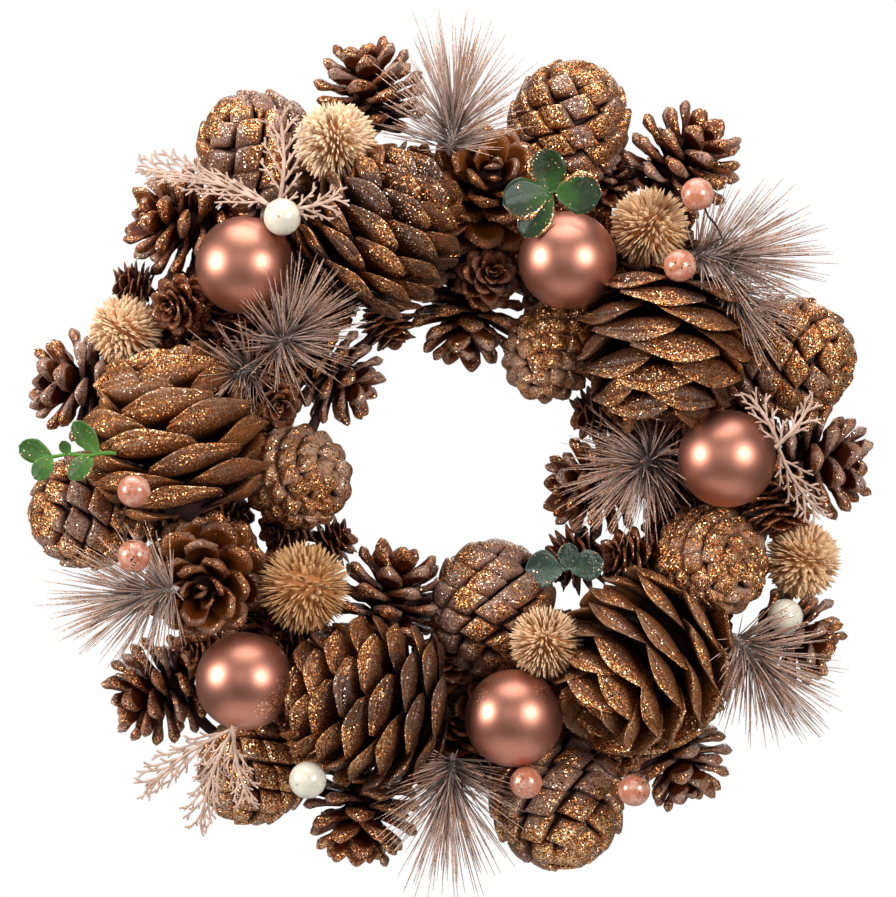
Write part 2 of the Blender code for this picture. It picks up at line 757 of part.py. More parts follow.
def make_needle_tufts():
    for name, place in NEEDLE_TUFTS.items():
        body = SpiralBody(TUFT_CORE_LENGTH, TUFT_CORE_RADIUS, NEEDLES, (5, 8))
        body.held_by_foot = True
        for cell in range(body.count):
            share = body.share(cell)
            outward, _, _ = body.axes(cell, between(NEEDLE_TILT, share))
            uneven = 0.86 + 0.14 * math.sin(cell * 2.4)
            length = between(NEEDLE_LENGTH, share) * place.size * uneven
            body.tips.append([body.centre(cell) + outward * length])
        make_scaled(name, place, body, "frosted_needle", slim=True)


def frond_outline(frond):
    """The outline of one flat frond in its own plane, along +X: its stem with pointed twigs in pairs."""
    sides = []
    for side in (-1, 1):
        outline = [Vector((-2, side * 0.9))]
        for number in range(frond.twigs):
            share = 0.2 + 0.8 * (number + 0.4 + 0.2 * side) / (frond.twigs + 0.2)
            foot = Vector((frond.length * share, side * 0.6))
            angle = side * math.radians(44)
            along = Vector((math.cos(angle), math.sin(angle)))
            reach = frond.length * 0.34 * math.sin(math.pi * (0.25 + 0.7 * share)) + 1
            outline += [foot - Vector((1.5, 0)), foot + along * reach, foot + Vector((1.1, 0))]
        sides.append(outline)
    return sides[0] + [Vector((frond.length, 0))] + sides[1][::-1]


def make_cedar_sprays():
    for name, fronds in CEDAR_SPRAYS.items():
        pieces = []
        for number, frond in enumerate(fronds):
            outline = frond_outline(frond)
            curve = bpy.data.curves.new(name, "CURVE")
            curve.dimensions = "2D"
            curve.fill_mode = "BOTH"
            curve.extrude = CEDAR_THICKNESS / 2 * MM
            spline = curve.splines.new("POLY")
            spline.points.add(len(outline) - 1)
            spline.use_cyclic_u = True
            for point, place in zip(spline.points, outline):
                point.co = (place.x * MM, place.y * MM, 0, 1)
            guide = bpy.data.objects.new(name, curve)
            wreath.objects.link(guide)
            bpy.context.view_layer.update()
            mesh = bpy.data.meshes.new_from_object(guide.evaluated_get(bpy.context.evaluated_depsgraph_get()))
            bpy.data.objects.remove(guide)
            shape = bmesh.new()
            shape.from_mesh(mesh)
            bmesh.ops.remove_doubles(shape, verts=shape.verts, dist=0.00001)
            bmesh.ops.triangulate(shape, faces=shape.faces)
            bmesh.ops.recalc_face_normals(shape, faces=shape.faces)
            shape.to_mesh(mesh)
            shape.free()
            mesh.materials.clear()
            mesh.materials.append(finish_of("frosted_cedar"))
            piece = bpy.data.objects.new(f"{name}_{number}", mesh)
            flat = Matrix.Rotation(math.radians(90), 4, "X")
            turn = Matrix.Rotation(math.radians(frond.clock), 4, "Z")
            back = Matrix.Rotation(math.radians(-frond.lean), 4, "Y")
            at = Matrix.Translation(position(frond.x, frond.z, number * 0.4) * MM)
            piece.matrix_world = at @ flat @ turn @ back
            wreath.objects.link(piece)
            pieces.append(piece)
        print(name, "rests at", drop_back([joined(name, pieces)]))


def leaf_points(leaf):
    """A leaf's rim and rib in its own plane along +X, cupped along its rib."""
    points = [(0, 0, 0)]
    for share, width in ((0.25, 0.74), (0.55, 1), (0.85, 0.62)):
        x, half = leaf.length * share, leaf.width * width / 2
        points += [(x, -half, half * 0.15), (x, 0, 0), (x, half, half * 0.15)]
    return points + [(leaf.length, 0, 0.6)]


def leaf_shell(leaf):
    """Upper and lower skins of one leaf, split alike, and the rim between them."""
    upper = [Vector(p) for p in leaf_points(leaf)]
    lower = [p - Vector((0, 0, LEAF_THICKNESS)) for p in upper]
    skin = [(0, 1, 2), (0, 2, 3)]
    for a in (1, 4):
        skin += [(a, a + 3, a + 4), (a, a + 4, a + 1), (a + 1, a + 4, a + 5), (a + 1, a + 5, a + 2)]
    skin += [(7, 10, 8), (8, 10, 9)]
    rim = [0, 1, 4, 7, 10, 9, 6, 3]
    count = len(upper)
    walls = []
    for a, b in zip(rim, rim[1:] + rim[:1]):
        walls += [(a, b, b + count), (a, b + count, a + count)]
    return upper + lower, skin + [tuple(i + count for i in face[::-1]) for face in skin] + walls


def make_leaf_sprigs():
    for name, sprig in LEAF_SPRIGS.items():
        along = heading(sprig.clock, 0)
        foot = position(sprig.x, sprig.z, 0)
        ends = [foot - along * 2, foot + along * (sprig.stem + 1)]
        pieces = [tube(f"{name}_stem", ends, 1.1, "leaf_green")]
        for number, leaf in enumerate(sprig.leaves):
            points, faces = leaf_shell(leaf)
            flat = Matrix.Rotation(math.radians(90), 4, "X")
            turn = Matrix.Rotation(math.radians(leaf.clock), 4, "Z")
            lift = Matrix.Rotation(math.radians(-8 - 5 * (number % 3)), 4, "Y")
            at = Matrix.Translation(foot + along * sprig.stem * leaf.foot)
            matrix = at @ flat @ turn @ lift
            pieces.append(write_object(f"{name}_{number}", points, faces, "leaf_green", matrix))
        print(name, "rests at", drop_back([joined(name, pieces)]))


clear_scene()
wreath = bpy.data.collections.new("christmas_wreath")
bpy.context.scene.collection.children.link(wreath)
make_ring()
make_baubles()
make_dried_flowers()
make_large_cones()
make_cone_groups(PINE_CONES, "pine_cone_wood")
larch_groups = {name: [(LARCH, place) for place in cones] for name, cones in LARCH_CONES.items()}
make_cone_groups(larch_groups, "larch_cone_wood")
make_pearls()
make_needle_tufts()
make_berry_picks()
make_leaf_sprigs()
make_cedar_sprays()
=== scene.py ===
"""Christmas wreath of gilded cones, satin baubles, dried flower heads, frosted needles and leaves.

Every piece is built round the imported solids, in the same frame: the origin is the hook under the ring's inner
edge, +Z is up and the viewer stands at -Y. Tables are in millimetres. A place in the wreath is x and z from the
ring's centre and how far it stands out towards the viewer.
"""

import bpy
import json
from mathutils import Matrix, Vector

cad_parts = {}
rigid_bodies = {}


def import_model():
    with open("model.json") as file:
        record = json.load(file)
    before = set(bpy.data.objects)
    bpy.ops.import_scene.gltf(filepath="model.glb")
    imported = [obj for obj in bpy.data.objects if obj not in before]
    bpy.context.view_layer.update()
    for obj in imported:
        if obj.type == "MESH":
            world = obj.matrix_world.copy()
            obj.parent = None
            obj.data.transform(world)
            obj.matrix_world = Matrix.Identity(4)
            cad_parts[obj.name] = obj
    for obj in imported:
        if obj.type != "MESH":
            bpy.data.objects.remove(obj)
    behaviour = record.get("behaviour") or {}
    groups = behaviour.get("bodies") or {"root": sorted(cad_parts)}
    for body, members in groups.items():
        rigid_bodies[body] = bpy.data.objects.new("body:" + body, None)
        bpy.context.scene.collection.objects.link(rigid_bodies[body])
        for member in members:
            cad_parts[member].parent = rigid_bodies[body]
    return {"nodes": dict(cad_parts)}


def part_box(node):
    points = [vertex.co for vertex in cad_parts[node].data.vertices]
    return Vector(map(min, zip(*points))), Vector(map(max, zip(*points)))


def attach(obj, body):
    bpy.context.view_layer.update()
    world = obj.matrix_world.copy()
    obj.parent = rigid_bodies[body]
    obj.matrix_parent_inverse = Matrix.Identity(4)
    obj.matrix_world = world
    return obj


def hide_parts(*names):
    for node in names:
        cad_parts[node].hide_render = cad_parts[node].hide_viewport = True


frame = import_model()
# A new file's own cube would count in the box.
for spare in [thing for thing in bpy.data.objects if thing.name in ("Cube", "Light", "Camera")]:
    bpy.data.objects.remove(spare)
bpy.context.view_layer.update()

import json
import math
import random
from collections import namedtuple
from functools import partial

import bmesh
from mathutils import Matrix, Vector
from mathutils.bvhtree import BVHTree

bl_info = {
    "name": "Christmas wreath",
    "version": (1, 0, 0),
    "blender": (4, 5, 0),
    "location": "3D View > Sidebar > Wreath",
    "description": "Builds a wreath of cones, baubles and dried flowers on a straw ring",
    "category": "Add Mesh",
}

MM = 0.001
GOLDEN_ANGLE = math.pi * (3 - math.sqrt(5))
RING_CENTRE = Vector((0, 0, -88))
STALKS = 1700
MOST_FILLING_CONES = 125
# The radius of the ring's middle line, and the exponent that rounds the ends of a cone's core.
RING_RADIUS = 105
ROUNDING = 2.4
# The kinds of node that most finishes use.
MAP, MIX, MATH = "ShaderNodeMapRange", "ShaderNodeMix", "ShaderNodeMath"
VECTOR_MATH, NOISE, BUMP = "ShaderNodeVectorMath", "ShaderNodeTexNoise", "ShaderNodeBump"

# clock is the tip's direction in the wreath's plane, 0 to the right and 90 up; lean is towards the viewer.
Place = namedtuple("Place", "x z out clock lean spin size", defaults=(0, 0, 0, 1))

# A cone is a core with one raised scale for each turn of the golden angle. Each triple is the value at the
# base, in the middle and at the tip. tilt is the scale's angle from the cone's axis, in degrees.
ConeKind = namedtuple("ConeKind", "core_length core_radius packed count tilt length width thick bulge")
LARGE = ConeKind(58, 14, 36, 36, (84, 56, 16), (19, 22, 15), (35, 39, 27), (7, 8.6, 7), 1.6)
OPEN = ConeKind(29, 7, 23, 34, (108, 70, 16), (12, 15.5, 10.5), (9, 11, 7.5), (4.4, 5.4, 4), 0)
ROSETTE = OPEN._replace(width=(11, 13, 8), thick=(4, 4.6, 3.4))
ROOFED = ConeKind(30, 11, 26, 50, (96, 62, 22), (9, 11.5, 9), (6.4, 7.4, 6), (6.4, 7.4, 6), 0)
CLOSED = ConeKind(40, 15.5, 30, 76, (90, 70, 25), (4.2, 5, 4.2), (9.6, 11.2, 10.6), (8, 9.4, 9.2), 0)
LARCH = ConeKind(14, 3.4, 18, 28, (98, 62, 16), (8, 9.5, 6.5), (7.4, 9, 5.6), (1.0, 1.0, 1.0), 0)
# Half closed cones show a mosaic of tiles on this body: length, radius, tile height, width and thickness.
TILED = (42, 17.8, (4.4, 5.2, 4.4), (13.6, 15.6, 12.4), (9.2, 10.4, 8.8))
FILLING = LARCH._replace(count=16)
# How each broad cone's scales differ from the plain kind: which way the spiral turns, how many there are, their
# width and thickness against it, how far they are turned out of the level in degrees, and their finish.
BroadCone = namedtuple("BroadCone", "hand count wide thick twist finish")
# The darker broad finish is painted shade for the cones that catch the most light.
BROAD_CONES = {
    "large_cone_top": BroadCone(-1, 60, 0.70, 0.66, -6, "deep_cone_scales"),
    "large_cone_left": BroadCone(1, 36, 1.0, 0.94, 4, "broad_cone_scales"),
    "large_cone_lower_left": BroadCone(-1, 58, 0.68, 0.64, -10, "deep_cone_scales"),
    "large_cone_right": BroadCone(1, 40, 0.94, 0.86, 3, "deep_cone_scales"),
    "large_cone_lower_right": BroadCone(-1, 48, 0.80, 0.72, -14, "broad_cone_scales"),
}
HALF_THICK = {LARGE: (4, 5.5, 3.5), OPEN: (1.8, 2.3, 1.7), ROSETTE: (1.8, 2.3, 1.7), ROOFED: (3.2, 3.7, 3)}

BAUBLES = {
    "bauble_01": Place(-84, 78, 56),
    "bauble_02": Place(48, 80, 57),
    "bauble_03": Place(113, -1, 57),
    "bauble_04": Place(-84, -92, 56),
    "bauble_05": Place(26, -107, 57),
}
BAUBLE_RADIUS = 20
BERRY_RADIUS = 6.6

# Glitter has rubbed off on two baubles here: x, z, out and radius.
BAUBLE_DUST = {
    "bauble_04": [(-72, -101, 70, 8), (-68, -94, 66, 6)],
    "bauble_05": [(11.5, -96.5, 66, 6), (39, -96.5, 68, 6), (14, -92, 63, 6)],
}

LARGE_CONES = {
    "large_cone_top": Place(-26, 95, 47, 54, 6, 20, 0.95),
    "large_cone_left": Place(-114, 12, 46, 100, 4, 60, 1.08),
    "large_cone_lower_left": Place(-36, -101, 46, 172, 4, 10, 1.0),
    "large_cone_right": Place(88, 43, 48, -92, 8, 200, 1.0),
    "large_cone_lower_right": Place(77, -87, 47, -135, 24, 120, 1.04),
}

# How pale each dried head is.
FLOWER_TONES = {
    "dried_flower_01": 0.9, "dried_flower_02": 0.35, "dried_flower_03": 0.55, "dried_flower_05": 0.45,
    "dried_flower_06": 0.3,
}
DRIED_FLOWERS = {
    "dried_flower_01": Place(-47, 129, 46, 100, 35, 0, 17),
    "dried_flower_02": Place(82, 94, 48, 60, 60, 0, 16.5),
    "dried_flower_03": Place(-135, 52, 26, 150, 45, 0, 15.5),
    "dried_flower_04": Place(-60, -54, 46, 20, 60, 0, 19),
    "dried_flower_05": Place(39, -76, 58, 100, 70, 0, 15),
    "dried_flower_06": Place(146, -43, 32, -10, 40, 0, 16),
}

PINE_CONES = {
    "pine_cone_top_inside": [(ROSETTE, Place(15, 111, 34, 70, 62, 0, 1.28))],
    "pine_cones_inner_top": [
        (CLOSED, Place(42, 43, 27.25, -128, 30, 0, 0.98)),
        (OPEN, Place(7, 57, 16, -96, 8, 40, 1.08)),
    ],
    "pine_cone_closed_right": [(CLOSED, Place(109, -44, 36.25, -50, 62, 0, 1.1))],
    "pine_cone_rosette_left": [(ROSETTE, Place(-101, -51, 38, -100, 70, 30, 1.22))],
    "pine_cone_inner_right": [(OPEN, Place(58, -13, 16, 186, 10, 0, 1.0))],
    "pine_cone_outer_right": [(OPEN, Place(145, -76, 18, -32, 6, 0, 1.0))],
    "pine_cones_upper_left": [
        (OPEN, Place(-34, 154, 18, 102, 8, 0, 1.08)),
        (ROOFED, Place(-78, 124, 22, -50, -20, 90, 1.15)),
        (OPEN, Place(-114, 97, 18, 168, 18, 40, 1.12)),
    ],
    "pine_cones_upper_right": [
        (ROOFED, Place(49, 137, 22, -112, -14, 30, 1.1)),
        (OPEN, Place(64, 117, 13.25, 60, 50, 10, 0.7)),
        (OPEN, Place(99, 125, 20, 48, 14, 70, 1.12)),
    ],
    "pine_cones_right": [
        (ROOFED, Place(140, 41, 24, 176, -20, 0, 1.12)),
        (OPEN, Place(155, -3, 18, -4, 4, 50, 1.16)),
    ],
    "pine_cones_bottom_right": [
        (OPEN, Place(96, -128, 16, -74, 6, 20, 1.02)),
        (ROOFED, Place(44, -141, 22, 105, -20, 0, 1.24)),
    ],
    "pine_cones_bottom_left": [
        (OPEN, Place(-37, -151, 18, -98, 6, 0, 1.1)),
        (ROOFED, Place(-80, -129, 20, 42, -20, 0, 1.02)),
        (OPEN, Place(-124, -99, 18, 202, 6, 30, 1.05)),
    ],
    "pine_cones_left": [
        (OPEN, Place(-156, 30, 16, 174, 2, 0, 1.08)),
        (ROOFED, Place(-148, -22, 22, 18, -18, 30, 1.08)),
    ],
    "pine_cones_inner_left": [
        (LARCH, Place(-25, 53, 14, -70, 10, 0, 1.1)),
        (OPEN, Place(-46, 32, 16, -34, 8, 20, 0.95)),
        (CLOSED, Place(-63, -9, 27.25, -24, 50, 0, 1.06)),
    ],
    "pine_cones_inner_bottom": [
        (OPEN, Place(-24, -57, 16, 76, 8, 0, 1.12)),
        (ROOFED, Place(18, -64, 20, -92, 16, 0, 1.14)),
    ],
}

LARCH_CONES = {
    "larch_cones_upper_left": [
        (LARCH, Place(-134, 71, 22, 172, 6, 0, 0.95)),
        (LARCH, Place(-113, 62, 36, 200, 50, 0, 1.1)),
    ],
    "larch_cone_top": [(LARCH, Place(16, 74, 43, 40, 64, 0, 1.1))],
    "larch_cone_inner_left": [(LARCH, Place(-73, 22, 30, -40, 56, 0, 1.1))],
    "larch_cones_inner_lower_left": [
        (LARCH, Place(-47, -35, 14, 24, 10, 0, 0.95)),
        (LARCH, Place(-71, -30.5, 18, 200, 40, 0, 0.95)),
    ],
    "larch_cone_lower_left": [(LARCH, Place(-106, -80.5, 28.5, 190, 56, 0, 0.95))],
    "larch_cone_bottom": [(LARCH, Place(-1, -85, 20, 80, 76, 0, 1.3))],
    "larch_cones_inner_right": [
        (LARCH, Place(72, -43, 26, 176, 26, 0, 1.2)),
        (LARCH, Place(50, -44, 14, 200, 10, 0, 1.3)),
    ],
    "larch_cone_right": [(LARCH, Place(136, -24, 39.25, -84, 16, 0, 1.3))],
    "larch_cone_inner_upper_right": [(LARCH, Place(59, 17, 22, 184, 10, 0, 1.15))],
    "larch_cone_lower_right": [(LARCH, Place(70, -122, 26, -110, 62, 0, 1.1))],
}

NEEDLE_TUFTS = {
    "needle_tuft_top": Place(0, 125, 46.75, 84, 8, 0, 1.12),
    "needle_tuft_inner_left": Place(-72, 44, 46, 45, 46, 0, 1.0),
    "needle_tuft_right": Place(100, 82.5, 46, -2, 10, 0, 1.1),
    "needle_tuft_inner_right": Place(86, 2, 32, -140, 46, 0, 1.05),
    "needle_tuft_left": Place(-112, -54, 61.75, 192, 4, 0, 1.0),
    "needle_tuft_lower_right": Place(117, -74, 50, -50, 8, 0, 0.98),
    "needle_tuft_bottom": Place(1, -124, 43.25, -95, 14, 0, 1.14),
}
# Two tufts have a second bundle beside the first.
SECOND_BUNDLES = {
    "needle_tuft_inner_left": Place(-80, 38, 40, 210, 40, 0, 0.8),
    "needle_tuft_right": Place(112, 74, 46, -62, 20, 0, 0.85),
}
NEEDLE_LENGTH = (27, 35, 38)
NEEDLE_TILT = (88, 50, 6)

# Berry picks: berry, berry, foot, as x and z, and how far out they rest.
BERRY_PICKS = {
    "berry_pick_upper_right": ((100, 106), (93, 77), (110, 89), 72.4),
    "berry_pick_left": ((-127, -14), (-127, -40), (-133, -27), 83.8),
    "berry_pick_bottom": ((31, -133), (75, -136), (54, -121), 60.7),
}

# spread is the angle between a frond's stem and its twigs, in degrees.
Frond = namedtuple("Frond", "x z clock lean length spread")
CEDAR_SPRAYS = {
    "cedar_spray_upper_left": (68.5, [
        Frond(-70, 100, 162, -14, 60, 20),
        Frond(-70, 100, 88, -8, 41, 36),
        Frond(-70, 100, 10, 14, 30, 34),
    ]),
    "cedar_spray_right": (67.0, [
        Frond(133, 5, -58, -20, 38, 30),
        Frond(133, 5, 120, 0, 25, 30),
        Frond(133, 5, 50, -10, 25, 34),
    ]),
    "cedar_spray_lower_left": (63, [
        Frond(-88, -111, 214, -6, 46, 24),
        Frond(-88, -111, 250, -6, 44, 26),
        Frond(-88, -111, 282, 0, 33, 30),
    ]),
}

Leaf = namedtuple("Leaf", "clock foot length width")
LeafSprig = namedtuple("LeafSprig", "x z out clock stem finish leaves")
LEAF_SPRIGS = {
    "leaf_sprig_top": LeafSprig(
        40, 107, 68.5, 0, 3, "dark",
        (Leaf(98, 0.2, 18, 16), Leaf(196, 0, 20, 18), Leaf(-2, 0.8, 20, 18), Leaf(238, 0.4, 22, 14)),
    ),
    "leaf_sprig_left": LeafSprig(
        -137, 1, 73.6, 182, 24, "light",
        (Leaf(128, 0.2, 17, 9), Leaf(228, 0.3, 14, 9), Leaf(118, 0.7, 7, 5), Leaf(164, 1, 14, 10),
         Leaf(236, 1, 12, 9)),
    ),
    "leaf_sprig_inner": LeafSprig(
        47, -47, 33.4, 0, 3, "frosted",
        (Leaf(178, 0, 16, 16), Leaf(14, 0.8, 15, 13), Leaf(84, 0.4, 12, 9)),
    ),
}


def linear(code):
    """The linear colour of an sRGB hex code, with alpha."""
    parts = [int(code[i:i + 2], 16) / 255 for i in (1, 3, 5)]
    return (*(p / 12.92 if p <= 0.04045 else ((p + 0.055) / 1.055) ** 2.4 for p in parts), 1.0)


def feed(node, inputs):
    """Sets a node's inputs: each is a value, a hex colour, or a socket or node to link."""
    for socket, value in inputs.items() if isinstance(inputs, dict) else enumerate(inputs):
        if isinstance(value, bpy.types.Node):
            value = next(output for output in value.outputs if output.enabled)
        if isinstance(value, bpy.types.NodeSocket):
            node.id_data.links.new(value, node.inputs[socket])
        else:
            node.inputs[socket].default_value = linear(value) if str(value).startswith("#") else value


def add(tree, kind, inputs=(), **settings):
    """Adds a node with these settings and inputs, which are given by their sockets or in order."""
    node = tree.nodes.new(kind)
    for setting, value in settings.items():
        setattr(node, setting, value)
    feed(node, inputs)
    return node


def between(values, share):
    start, middle, end = values
    if share < 0.5:
        return start + (middle - start) * share * 2
    return middle + (end - middle) * (share * 2 - 1)


def smooth(value):
    value = min(max(value, 0), 1)
    return value * value * (3 - 2 * value)


def heading(clock, lean):
    clock, lean = math.radians(clock), math.radians(lean)
    return Vector((math.cos(clock) * math.cos(lean), -math.sin(lean), math.sin(clock) * math.cos(lean)))


def position(x, z, out):
    return RING_CENTRE + Vector((x, -out, z))


def strayed(direction, chance, most):
    """A direction that strays at random, by up to this much along each axis."""
    return (direction + Vector([chance.uniform(-most, most) for _ in range(3)])).normalized()


def stance(place):
    turn = heading(place.clock, place.lean).to_track_quat("Z", "Y").to_matrix().to_4x4()
    spin = Matrix.Rotation(math.radians(place.spin), 4, "Z")
    return Matrix.Translation(position(place.x, place.z, place.out)) @ turn @ spin


class Neighbours:
    """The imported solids, in millimetres, to measure how far a scale or a needle can reach."""

    def __init__(self):
        self.trees = {}
        for name, node in frame["nodes"].items():
            points = [v.co / MM for v in node.data.vertices]
            faces = [tuple(p.vertices) for p in node.data.polygons]
            low = Vector([min(p[i] for p in points) for i in range(3)])
            high = Vector([max(p[i] for p in points) for i in range(3)])
            self.trees[name] = (BVHTree.FromPolygons(points, faces), low, high)

    def own_reach(self, name, start, direction, most):
        """How far the node's own surface lies from a point inside it."""
        hit = self.trees[name][0].ray_cast(start, direction, most * 1.3)
        return most if hit[3] is None else min(hit[3], most)

    def free_length(self, name, start, direction, most):
        """How far a straight needle goes before it meets another node."""
        end = start + direction * most
        for other, (tree, low, high) in self.trees.items():
            if other == name:
                continue
            if any(min(start[i], end[i]) > high[i] or max(start[i], end[i]) < low[i] for i in range(3)):
                continue
            hit = tree.ray_cast(start, direction, most)
            if hit[3] is not None:
                most = min(most, hit[3])
        return most

    def distance(self, spot):
        """How far a point lies from the nearest solid, the ring apart."""
        return min(
            tree.find_nearest(spot)[3] for name, (tree, _, _) in self.trees.items() if name != "straw_ring"
        )


neighbours = Neighbours()


def new_mesh(name, points, faces=(), edges=()):
    mesh = bpy.data.meshes.new(name)
    mesh.from_pydata([tuple(p) for p in points], edges, faces)
    return mesh


def set_field(mesh, name, values):
    """Gives each point of a mesh its number or its vector."""
    vectors = hasattr(values[0], "__len__")
    field = mesh.attributes.new(name, "FLOAT_VECTOR" if vectors else "FLOAT", "POINT").data
    field.foreach_set("vector" if vectors else "value", [c for v in values for c in v] if vectors else values)


def new_object(name, mesh):
    thing = bpy.data.objects.new(name, mesh)
    bpy.context.scene.collection.objects.link(thing)
    return thing


def plain(thing):
    """Turns what the modifiers make of an object into its plain mesh."""
    bpy.context.view_layer.update()
    graph = bpy.context.evaluated_depsgraph_get()
    mesh = bpy.data.meshes.new_from_object(
        thing.evaluated_get(graph), preserve_all_data_layers=True, depsgraph=graph
    )
    thing.modifiers.clear()
    thing.data = mesh
    for layer in ("turn", "size"):
        if layer in mesh.attributes:
            mesh.attributes.remove(mesh.attributes[layer])
    return thing


def merged(name, things):
    """Joins plain mesh objects into the first of them."""
    whole = things[0]
    bpy.context.view_layer.update()
    if len(things) > 1:
        with bpy.context.temp_override(
            active_object=whole, object=whole, selected_objects=things, selected_editable_objects=things
        ):
            bpy.ops.object.join()
    whole.name = whole.data.name = name
    return whole


def dress(node, slot, *parts):
    """Joins a node's parts into the one piece that stands for it."""
    piece = merged(node + "_dressed", list(parts))
    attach(piece, "root")
    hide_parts(node)


# ---------------------------------------------------------------- shapes that are repeated


def template(name, points, faces, rims, grains=None):
    """A small mesh for copies, with its own coordinates in grain and its edge share in rim."""
    mesh = new_mesh(name, points, faces)
    shape = bmesh.new()
    shape.from_mesh(mesh)
    bmesh.ops.recalc_face_normals(shape, faces=shape.faces)
    shape.to_mesh(mesh)
    shape.free()
    mesh.shade_smooth()
    set_field(mesh, "rim", rims)
    set_field(mesh, "grain", grains or points)
    return new_object(name, mesh)


def tube_faces(rings, sides, turned_end=0):
    """The faces between rings of points, and both ends; turned_end is the end whose points run backwards."""
    faces = []
    for a in range(0, (rings - 1) * sides, sides):
        b = a + sides
        faces += [(a + i, a + (i + 1) % sides, b + (i + 1) % sides, b + i) for i in range(sides)]
    last = (rings - 1) * sides
    ends = [tuple(range(sides)), tuple(range(last, last + sides))]
    ends[turned_end] = ends[turned_end][::-1]
    return faces + ends


def lofted(name, section, columns, shape, edge=0):
    """A closed form whose section runs across in columns; shape(u, z, y) gives each point.

    edge is the rim share of the first and last column.
    """
    points, rims, grains = [], [], []
    for column in range(columns):
        u = -1 + 2 * column / (columns - 1)
        for z, y, rim in section:
            points.append(shape(u, z, y))
            rims.append(max(rim, edge * smooth(z * 2)) if abs(u) == 1 else rim)
            grains.append((u, y, z))
    return template(name, points, tube_faces(columns, len(section), 1), rims, grains)


def broad_scale(hand):
    """A lens-faced scale, pointed at both sides, with a thick lip that waves along its upper edge."""
    section = [
        (0, -0.10, 0), (0.45, -0.18, 0), (0.70, -0.38, 0), (0.78, -0.48, 0), (0.88, -0.46, 0.02),
        (0.98, -0.30, 0.04), (1.02, -0.12, 0.08), (1.01, 0.06, 0.25), (0.99, 0.15, 0.6), (1.05, 0.22, 1),
        (1.14, 0.32, 1), (1.14, 0.46, 1), (1.03, 0.54, 1), (0.90, 0.44, 0.4), (0.6, 0.22, 0), (0, 0.10, 0),
    ]

    def shape(u, z, y):
        grown = smooth(z / 0.7)
        lens = max(1 - abs(u) ** (1.9 if y < 0 else 1.5), 0.03)
        x = 0.5 * u * (0.30 + 0.70 * grown)
        wave = (-0.13 * math.sin(math.pi * u) * smooth((y + 0.5) / 0.9) - 0.22 * u ** 3) * grown * hand
        rise = y * (1 - grown + lens * grown)
        out = z - 0.13 * abs(u) ** 1.6 * grown + 0.10 * rise * grown
        return (x, rise + wave, out)

    return lofted("broad_scale", section, 13, shape, 0.6)


def spoon_scale():
    """An open pine cone's scale: a smooth blade with thin edges and a thick rhomboid end."""
    section = [
        (0, -0.25, 0), (0.4, -0.2, 0), (0.70, -0.26, 0), (0.82, -0.48, 0.4), (0.92, -0.50, 0.9), (1.02, -0.24, 1),
        (1.08, 0.02, 1), (1.02, 0.28, 1), (0.93, 0.40, 0.8), (0.82, 0.18, 0.05), (0.5, 0.0, 0), (0, 0.2, 0),
    ]

    def shape(u, z, y):
        grown = smooth(z / 0.6)
        side = 1 - abs(u) ** 1.7
        x = 0.5 * u * (0.40 + 0.60 * grown)
        edge = 0.40 * u * u * (1 - abs(2 * z - 1) ** 2) if y > -0.25 else 0
        return (x, y * (1 - grown + (0.2 + 0.8 * side) * grown) + edge, z - 0.30 * abs(u) ** 1.7 * grown)

    return lofted("spoon_scale", section, 8, shape, 0.7)


def tile_scale():
    """A half closed cone's tile: a flat rounded rhomb that stands proud at its free edge."""
    section = [
        (0, -0.5, 0), (0.50, -0.54, 0.1), (0.98, -0.54, 0.9), (1.10, -0.44, 1), (1.06, -0.12, 1), (1.00, 0.14, 0.9),
        (0.90, 0.36, 0.8), (0.50, 0.48, 0.1), (0, 0.5, 0),
    ]

    def shape(u, z, y):
        lens = max(1 - abs(u) ** 1.2, 0.03)
        return (0.5 * u, y * lens + 0.05 * u, z * (1 - 0.45 * u * u))

    return lofted("tile_scale", section, 7, shape, 0.7)


def knob_scale():
    """A closed cone's diamond shield with its boss."""
    section = [
        (0, -0.5, 0), (0.55, -0.5, 0.2), (0.85, -0.34, 0.5), (0.98, -0.12, 0.8), (1.15, 0, 1), (0.98, 0.12, 0.8),
        (0.85, 0.34, 0.6), (0.55, 0.5, 0.3), (0, 0.5, 0),
    ]

    def shape(u, z, y):
        lens = max(1 - abs(u) ** 1.25, 0.05)
        return (0.5 * u, y * lens, z * (1 - 0.55 * u * u))

    return lofted("knob_scale", section, 7, shape)


def petal_scale(columns=6):
    """A larch cone's thin scale, rounded at the end and turned out there."""
    section = [
        (0, -0.4, 0), (0.5, -0.5, 0), (0.85, -0.5, 0.3), (1.0, 0, 1), (0.85, 0.5, 0.6), (0.5, 0.4, 0), (0, 0.4, 0),
    ]

    def shape(u, z, y):
        grown = smooth(z / 0.7)
        x = 0.5 * u * (0.45 + 0.55 * grown)
        curl = 1.6 * u * u * grown - 1.4 * z ** 4
        return (x, y + curl, z - 0.38 * abs(u) ** 2.2 * grown)

    return lofted("petal_scale", section, columns, shape, 0.9)


def rod_shape(name, rings, bend, sides=4):
    """A thin form round +Z: each ring is its height and its radius; bend leans it over towards +X."""
    points, rims = [], []
    for z, radius in rings:
        for side in range(sides):
            angle = 2 * math.pi * side / sides
            points.append((radius * math.cos(angle) + bend * z * z, radius * math.sin(angle), z))
            rims.append(z)
    return template(name, points, tube_faces(len(rings), sides), rims)


# ---------------------------------------------------------------- Geometry Nodes


